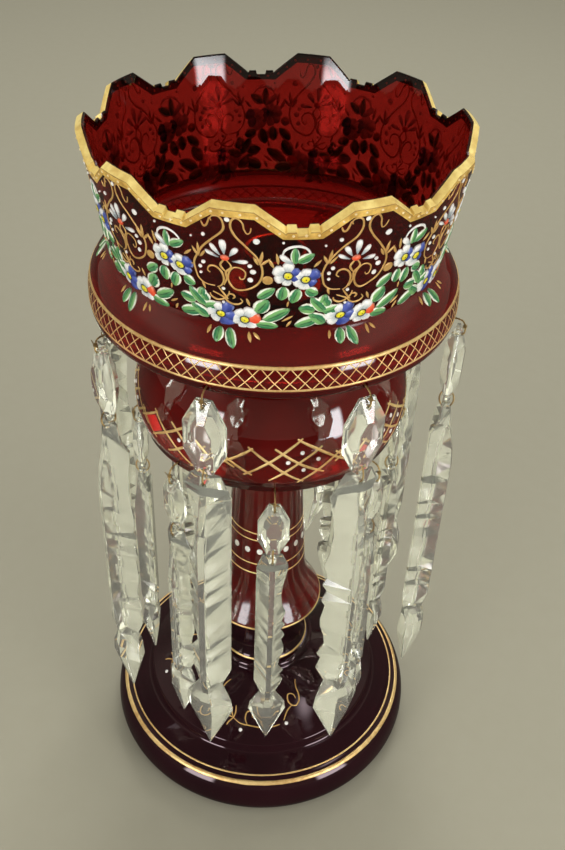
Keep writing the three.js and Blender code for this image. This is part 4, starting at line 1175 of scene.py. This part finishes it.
for at, leaves in (("lobe", LOBE_LEAVES), ("valley", VALLEY_LEAVES)):
    leaves = [(*place, length * LEAF_STRETCH, width * LEAF_SPREAD) for *place, length, width in leaves]
    leaf_dabs += wall_dabs(at, leaves, PAINT_RISE)
dabbed("wall_leaves", leaf_dabs, tones["leaf_green"], LEAF_SHAPE, **PAINT)
dabbed("flower_hearts", hearts, yellow_enamel, **PAINT)
dabbed("flower_pupils", pupils, dark_enamel, **PAINT)
brushed("flower_rings", rings, dark_enamel, Flat=0.5, **PAINT)


# The candle socket is spun from thin brass: a dish with a rolled rim that stands in the bowl, and a tube with a
# rolled top.
SOCKET = [
    (0, 278.7), (20, 278.7), (21, 279.2), (21.7, 280.6), (21.9, 281.5), (21.3, 281.9), (20.7, 281.5), (20.4, 280.5),
    (19.6, 279.9), (13, 279.9), (12.2, 280.5), (11.9, 281.6), (11.9, 293.9), (12.5, 294.3), (13.2, 294.6),
    (13.4, 295.2), (13.0, 295.7), (12.2, 295.8), (11.4, 295.5), (11, 294.7), (11, 279.9), (0, 279.9),
]
BRASS_BRIGHT = (0.52, 0.36, 0.14, 1)
BRASS_DULL = (0.16, 0.095, 0.035, 1)
brass = gilding("aged_brass", BRASS_BRIGHT, BRASS_DULL, wear=0.9, size=300.0, bump=0.2)
socket = turned("candle_socket_brass", SOCKET, [brass])
handed(socket, "root", "brass", "candle_socket")


# Every pendant hangs from a drilled hole in a lip. A twisted brass wire hook carries a cut bead of clear crystal.
# A bead is a long octagon, cut to a table on its front and back, and drilled near both ends.
ROWS = {
    "outer": {
        "angles": OUTER_ANGLES, "notched": [1, -1, -1, 1, -1, 1, 1, -1], "hang": 79.6,
        "bead": (18, 36.5, 8.6), "bead_top": 271.9, "bead_holes": (268.5, 238.8),
        "prism": (20.5, 12), "spear": (23.4, 46), "prism_top": 234.7, "prism_length": 180, "prism_hole": 230.7,
    },
    "inner": {
        "angles": INNER_ANGLES, "notched": [1, 1, -1, 1, 1, -1, -1, 1], "hang": 61.1,
        "bead": (14, 30, 7), "bead_top": 206, "bead_holes": (202.6, 179.4),
        "prism": (15, 9), "spear": (18.6, 37), "prism_top": 175.3, "prism_length": 137, "prism_hole": 171.3,
    },
}
CRYSTAL_DEEP = (0.975, 0.98, 0.875, 1)
CRYSTAL_THIN = (0.99, 0.99, 0.90, 1)
BEAD_EDGE = 0.22
WIRE_DRILL = 2.4
DRILL_REACH = 8
crystal = glass("lead_crystal", CRYSTAL_DEEP, CRYSTAL_THIN, 0.006, 0.03, size=120.0, transmission=0.92, ior=1.55)


def cut_crystal(name, rings, edge, holes, hang):
    """A piece of crystal from rings that all have the same number of points. Its cut edges are taken off, as polishing
    does, and it is drilled through from the front."""
    count = len(rings[0])
    points = [point for ring in rings for point in ring]
    faces = [
        (r * count + i, r * count + (i + 1) % count, (r + 1) * count + (i + 1) % count, (r + 1) * count + i)
        for r in range(len(rings) - 1) for i in range(count)
    ]
    faces.append(tuple(reversed(range(count))))
    faces.append(tuple(range(len(points) - count, len(points))))
    made = piece(name, points, faces, [crystal], sharp=math.radians(5))
    bevel = made.modifiers.new("polish", "BEVEL")
    bevel.width = edge * MM
    bevel.segments = 1
    bevel.limit_method = "ANGLE"
    bevel.angle_limit = math.radians(9)
    bevel.use_clamp_overlap = True
    plain_mesh(made)
    for hole in holes:
        drilled(made, [0], hole, hang - DRILL_REACH, hang + DRILL_REACH, WIRE_DRILL)
    made.data.polygons.foreach_set("use_smooth", [False] * len(made.data.polygons))
    return made


def hang_copies(pattern, row_name, kind, chosen):
    """Turns copies of a pattern to their places round the lustre, each riding on its own body."""
    for i in chosen:
        name = f"{row_name}_{kind}_crystal_{i + 1}"
        mesh = pattern.data.copy()
        mesh.name = name
        mesh.transform(Matrix.Rotation(math.radians(ROWS[row_name]["angles"][i]), 4, "Z"))
        handed(added(name, mesh), f"{row_name}_{kind}_body_{i + 1}", "crystal", f"{row_name}_{kind}_{i + 1}")
    bpy.data.objects.remove(pattern)


def cut_bead(row_name, row):
    """The pattern of a row's bead, hanging at azimuth 0."""
    width, height, thickness = row["bead"]
    half, tall, tip = width / 2, height / 2, width * 0.18
    outline = [
        (-tip, tall), (tip, tall), (half, tall * 0.36), (half, -tall * 0.38),
        (tip, -tall), (-tip, -tall), (-half, -tall * 0.38), (-half, tall * 0.36),
    ]
    middle = row["bead_top"] - tall
    rings = [
        [(x * size, -row["hang"] - depth, middle + z * size) for x, z in outline]
        for size, depth in ((0.46, thickness / 2), (1, 0.7), (1, -0.7), (0.46, -thickness / 2))
    ]
    return cut_crystal(f"{row_name}_bead_pattern", rings, BEAD_EDGE, row["bead_holes"], row["hang"])


for row_name, row in ROWS.items():
    hang_copies(cut_bead(row_name, row), row_name, "bead", range(8))


# The hooks and links are brass wire, two strands twisted together. A hook runs in through the lip and down to the bead,
# and a link joins the bead's lower hole to the prism's.
WIRE_STRAND = 0.235
WIRE_LAY = 0.2
HOOKS = {
    "outer": [(72, 273.4), (72.45, 275.35), (75.1, 275.8), (77.9, 275.8), (80.7, 275.1), (82, 273.2), (82.4, 270.6),
              (81.8, 268.8), (79.6, 268.4), (77.2, 268.6)],
    "inner": [(53.5, 209.9), (53.95, 211.85), (56.5, 212.3), (59.2, 212.3), (62, 211.5), (63.4, 209.3), (63.8, 206),
              (63.2, 203.2), (61.1, 202.5), (58.9, 202.7)],
}
COILS = {"outer": (82.1, 273.1), "inner": (63.5, 208.6)}
COIL_SIZE = 0.72
COIL_TURNS = 2.5
HOOK_TURNS = 9
LINK_RADIUS = 4.5
LINK_SQUEEZE = 0.7
LINK_TURNS = 12
COIL_STRAND = 0.15
COIL_LAY = 0.1
COIL_LAY_TURNS = 6

twisted, twisted_in, twisted_out = group(
    "twisted_wire", "GeometryNodeTree",
    {"Geometry": ("Geometry", None), "Turns": ("Float", 10.0), "Lay": ("Float", 0.0002), "Strand": ("Float", 0.00025),
     "Material": ("Material", None)},
    {"Geometry": "Geometry"},
)
wire_path = first(twisted, "GeometryNodeMeshToCurve", {"Mesh": twisted_in["Geometry"]})
wire_fine = first(twisted, "GeometryNodeResampleCurve", {"Curve": wire_path, "Length": 0.00034}, mode="LENGTH")
wire_factor = node(twisted, "GeometryNodeSplineParameter").outputs["Factor"]
wire_normal = first(twisted, "GeometryNodeInputNormal")
wire_side = vector_math(twisted, "CROSS_PRODUCT", first(twisted, "GeometryNodeInputTangent"), wire_normal)
wire_round = first(twisted, "GeometryNodeCurvePrimitiveCircle", {"Resolution": 6, "Radius": 1.0})
wire_turns = number_math(twisted, "MULTIPLY", twisted_in["Turns"], 2 * math.pi)
wire_both = node(twisted, "GeometryNodeJoinGeometry")
for start in (0.0, math.pi):
    angle = number_math(twisted, "ADD", number_math(twisted, "MULTIPLY", wire_factor, wire_turns), start)
    out = vector_math(twisted, "SCALE", wire_normal, number_math(twisted, "COSINE", angle))
    beside = vector_math(twisted, "SCALE", wire_side, number_math(twisted, "SINE", angle))
    offset = vector_math(twisted, "SCALE", vector_math(twisted, "ADD", out, beside), twisted_in["Lay"])
    feed(twisted, wire_both, {0: first(twisted, "GeometryNodeCurveToMesh", {
        "Curve": first(twisted, "GeometryNodeSetPosition", {"Geometry": wire_fine, "Offset": offset}),
        "Profile Curve": wire_round, "Scale": twisted_in["Strand"], "Fill Caps": True,
    })})
wire_made = first(twisted, "GeometryNodeRealizeInstances", {"Geometry": wire_both.outputs[0]})
wire_made = first(twisted, "GeometryNodeSetShadeSmooth", {"Geometry": wire_made})
wire_made = first(twisted, "GeometryNodeSetMaterial", {"Geometry": wire_made, "Material": twisted_in["Material"]})
feed(twisted, twisted_out, {"Geometry": wire_made})


def wired(name, paths, turns, lay=WIRE_LAY, strand=WIRE_STRAND, body="root", closed=False):
    """A piece of twisted wire along paths in millimetres."""
    lines = bare_lines(name, [([Vector(place) * MM for place in path], closed) for path in paths])
    return made_by(twisted, name, lines, brass, body, "brass", Turns=float(turns), Lay=lay * MM, Strand=strand * MM)


def out_at(azimuth, radius, height):
    turn = math.radians(azimuth)
    return radius * math.sin(turn), -radius * math.cos(turn), height


for row_name, row in ROWS.items():
    paths = [[out_at(angle, *place) for place in smooth(HOOKS[row_name], 5)] for angle in row["angles"]]
    hooks = wired(f"{row_name}_wire_hooks", paths, HOOK_TURNS)
    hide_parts(*[f"{row_name}_hook_{i + 1}" for i in range(8)])
    coils = []
    out, tall = COILS[row_name]
    for angle in row["angles"]:
        turns = [2 * math.pi * COIL_TURNS * i / 24 for i in range(25)]
        bits = [(math.sin(a) * COIL_SIZE, out + math.cos(a) * COIL_SIZE, tall - 0.28 * a / math.pi) for a in turns]
        bits = [(-2.1, out + 0.6, tall + 0.5), *bits, (2.0, out - 0.3, tall - 1.9)]
        coils.append([out_at(angle + math.degrees(side / radius), radius, height) for side, radius, height in bits])
    wired(f"{row_name}_wire_coils", coils, COIL_LAY_TURNS, COIL_LAY, COIL_STRAND)
    middle = (row["bead_holes"][1] + row["prism_hole"]) / 2
    wide = LINK_RADIUS * LINK_SQUEEZE
    around = [math.pi * i / 12 for i in range(24)]
    loop = [(row["hang"] + wide * math.cos(a), middle + LINK_RADIUS * math.sin(a)) for a in around]
    for i, angle in enumerate(row["angles"]):
        path = [out_at(angle, *place) for place in loop]
        body = f"{row_name}_bead_body_{i + 1}"
        link = wired(f"{row_name}_wire_link_{i + 1}", [path], LINK_TURNS, body=body, closed=True)
        if row_name == "outer":
            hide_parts(f"outer_link_{i + 1}")


# A prism is a three-sided bar of clear crystal. A flat strip runs down its ridge, and one edge is cut to scallops and
# teeth. It slopes to a thin drilled top, and ends in a faceted spear.
NOTCHED_EDGE = [
    (0.05, 1), (0.10, 0.9), (0.17, 0.74), (0.24, 0.66), (0.31, 0.76), (0.36, 0.98), (0.375, 0.98), (0.435, 0.78),
    (0.46, 1), (0.5, 0.76), (0.54, 1), (0.575, 0.8), (0.64, 0.98), (0.68, 0.95), (0.735, 0.74), (0.785, 0.66),
    (0.83, 1), (0.865, 0.78), (0.91, 1),
]
ROOF_SHARE = 0.2
BACK_SHARE = 0.05
HOLE_LAND = 7
TOP_THICKNESS = 1.6
PRISM_EDGE = 0.18


def cut_prism(row_name, row, side):
    """The pattern of a row's prism, with its notched edge on one side."""
    width, depth = row["prism"]
    spear_width, spear_length = row["spear"]
    half, plain = width / 2, width / 2 - 0.5
    strip = width * 0.075
    back = depth * 0.4
    front = depth - back
    bar = row["prism_length"] - spear_length
    thin = TOP_THICKNESS

    def ring(down, notched, plain, ridge, forward, rearward, chamfer=1.0):
        points = [
            (-ridge, forward), (ridge, forward), (notched, chamfer - rearward), (notched - chamfer, -rearward),
            (chamfer - plain, -rearward), (-plain, chamfer - rearward),
        ]
        return [(side * x, -row["hang"] - y, row["prism_top"] - down) for x, y in points]

    def spear_ring(share, spread, ridge, forward, rearward):
        wide, deep = spear_width * spread, back * rearward
        return ring(bar + spear_length * share, wide, wide, half * ridge, front * forward, deep, deep)

    return cut_crystal(f"{row_name}_prism_pattern", [
        ring(0, half * 0.62, half * 0.62, strip, thin, thin),
        ring(HOLE_LAND, half, plain, strip, thin + 1, thin),
        *[
            ring(
                HOLE_LAND + share * (bar - HOLE_LAND), half * reach, plain, strip,
                thin + 1 + min(1, share / ROOF_SHARE) * (front - thin - 1),
                thin + min(1, share / BACK_SHARE) * (back - thin),
            )
            for share, reach in NOTCHED_EDGE
        ],
        ring(bar, half * 0.56, half * 0.56, strip, front * 0.7, back * 0.8),
        spear_ring(0.16, 0.475, 0.3, 0.96, 0.95),
        spear_ring(0.32, 0.515, 0.36, 1, 1),
        ring(row["prism_length"] - 0.8, 0.5, 0.5, 0.25, 0.5, 0.5, 0.25),
    ], PRISM_EDGE, [row["prism_hole"]], row["hang"])


for row_name, row in ROWS.items():
    for side in (1, -1):
        chosen = [i for i in range(8) if row["notched"][i] == side]
        hang_copies(cut_prism(row_name, row, side), row_name, "prism", chosen)
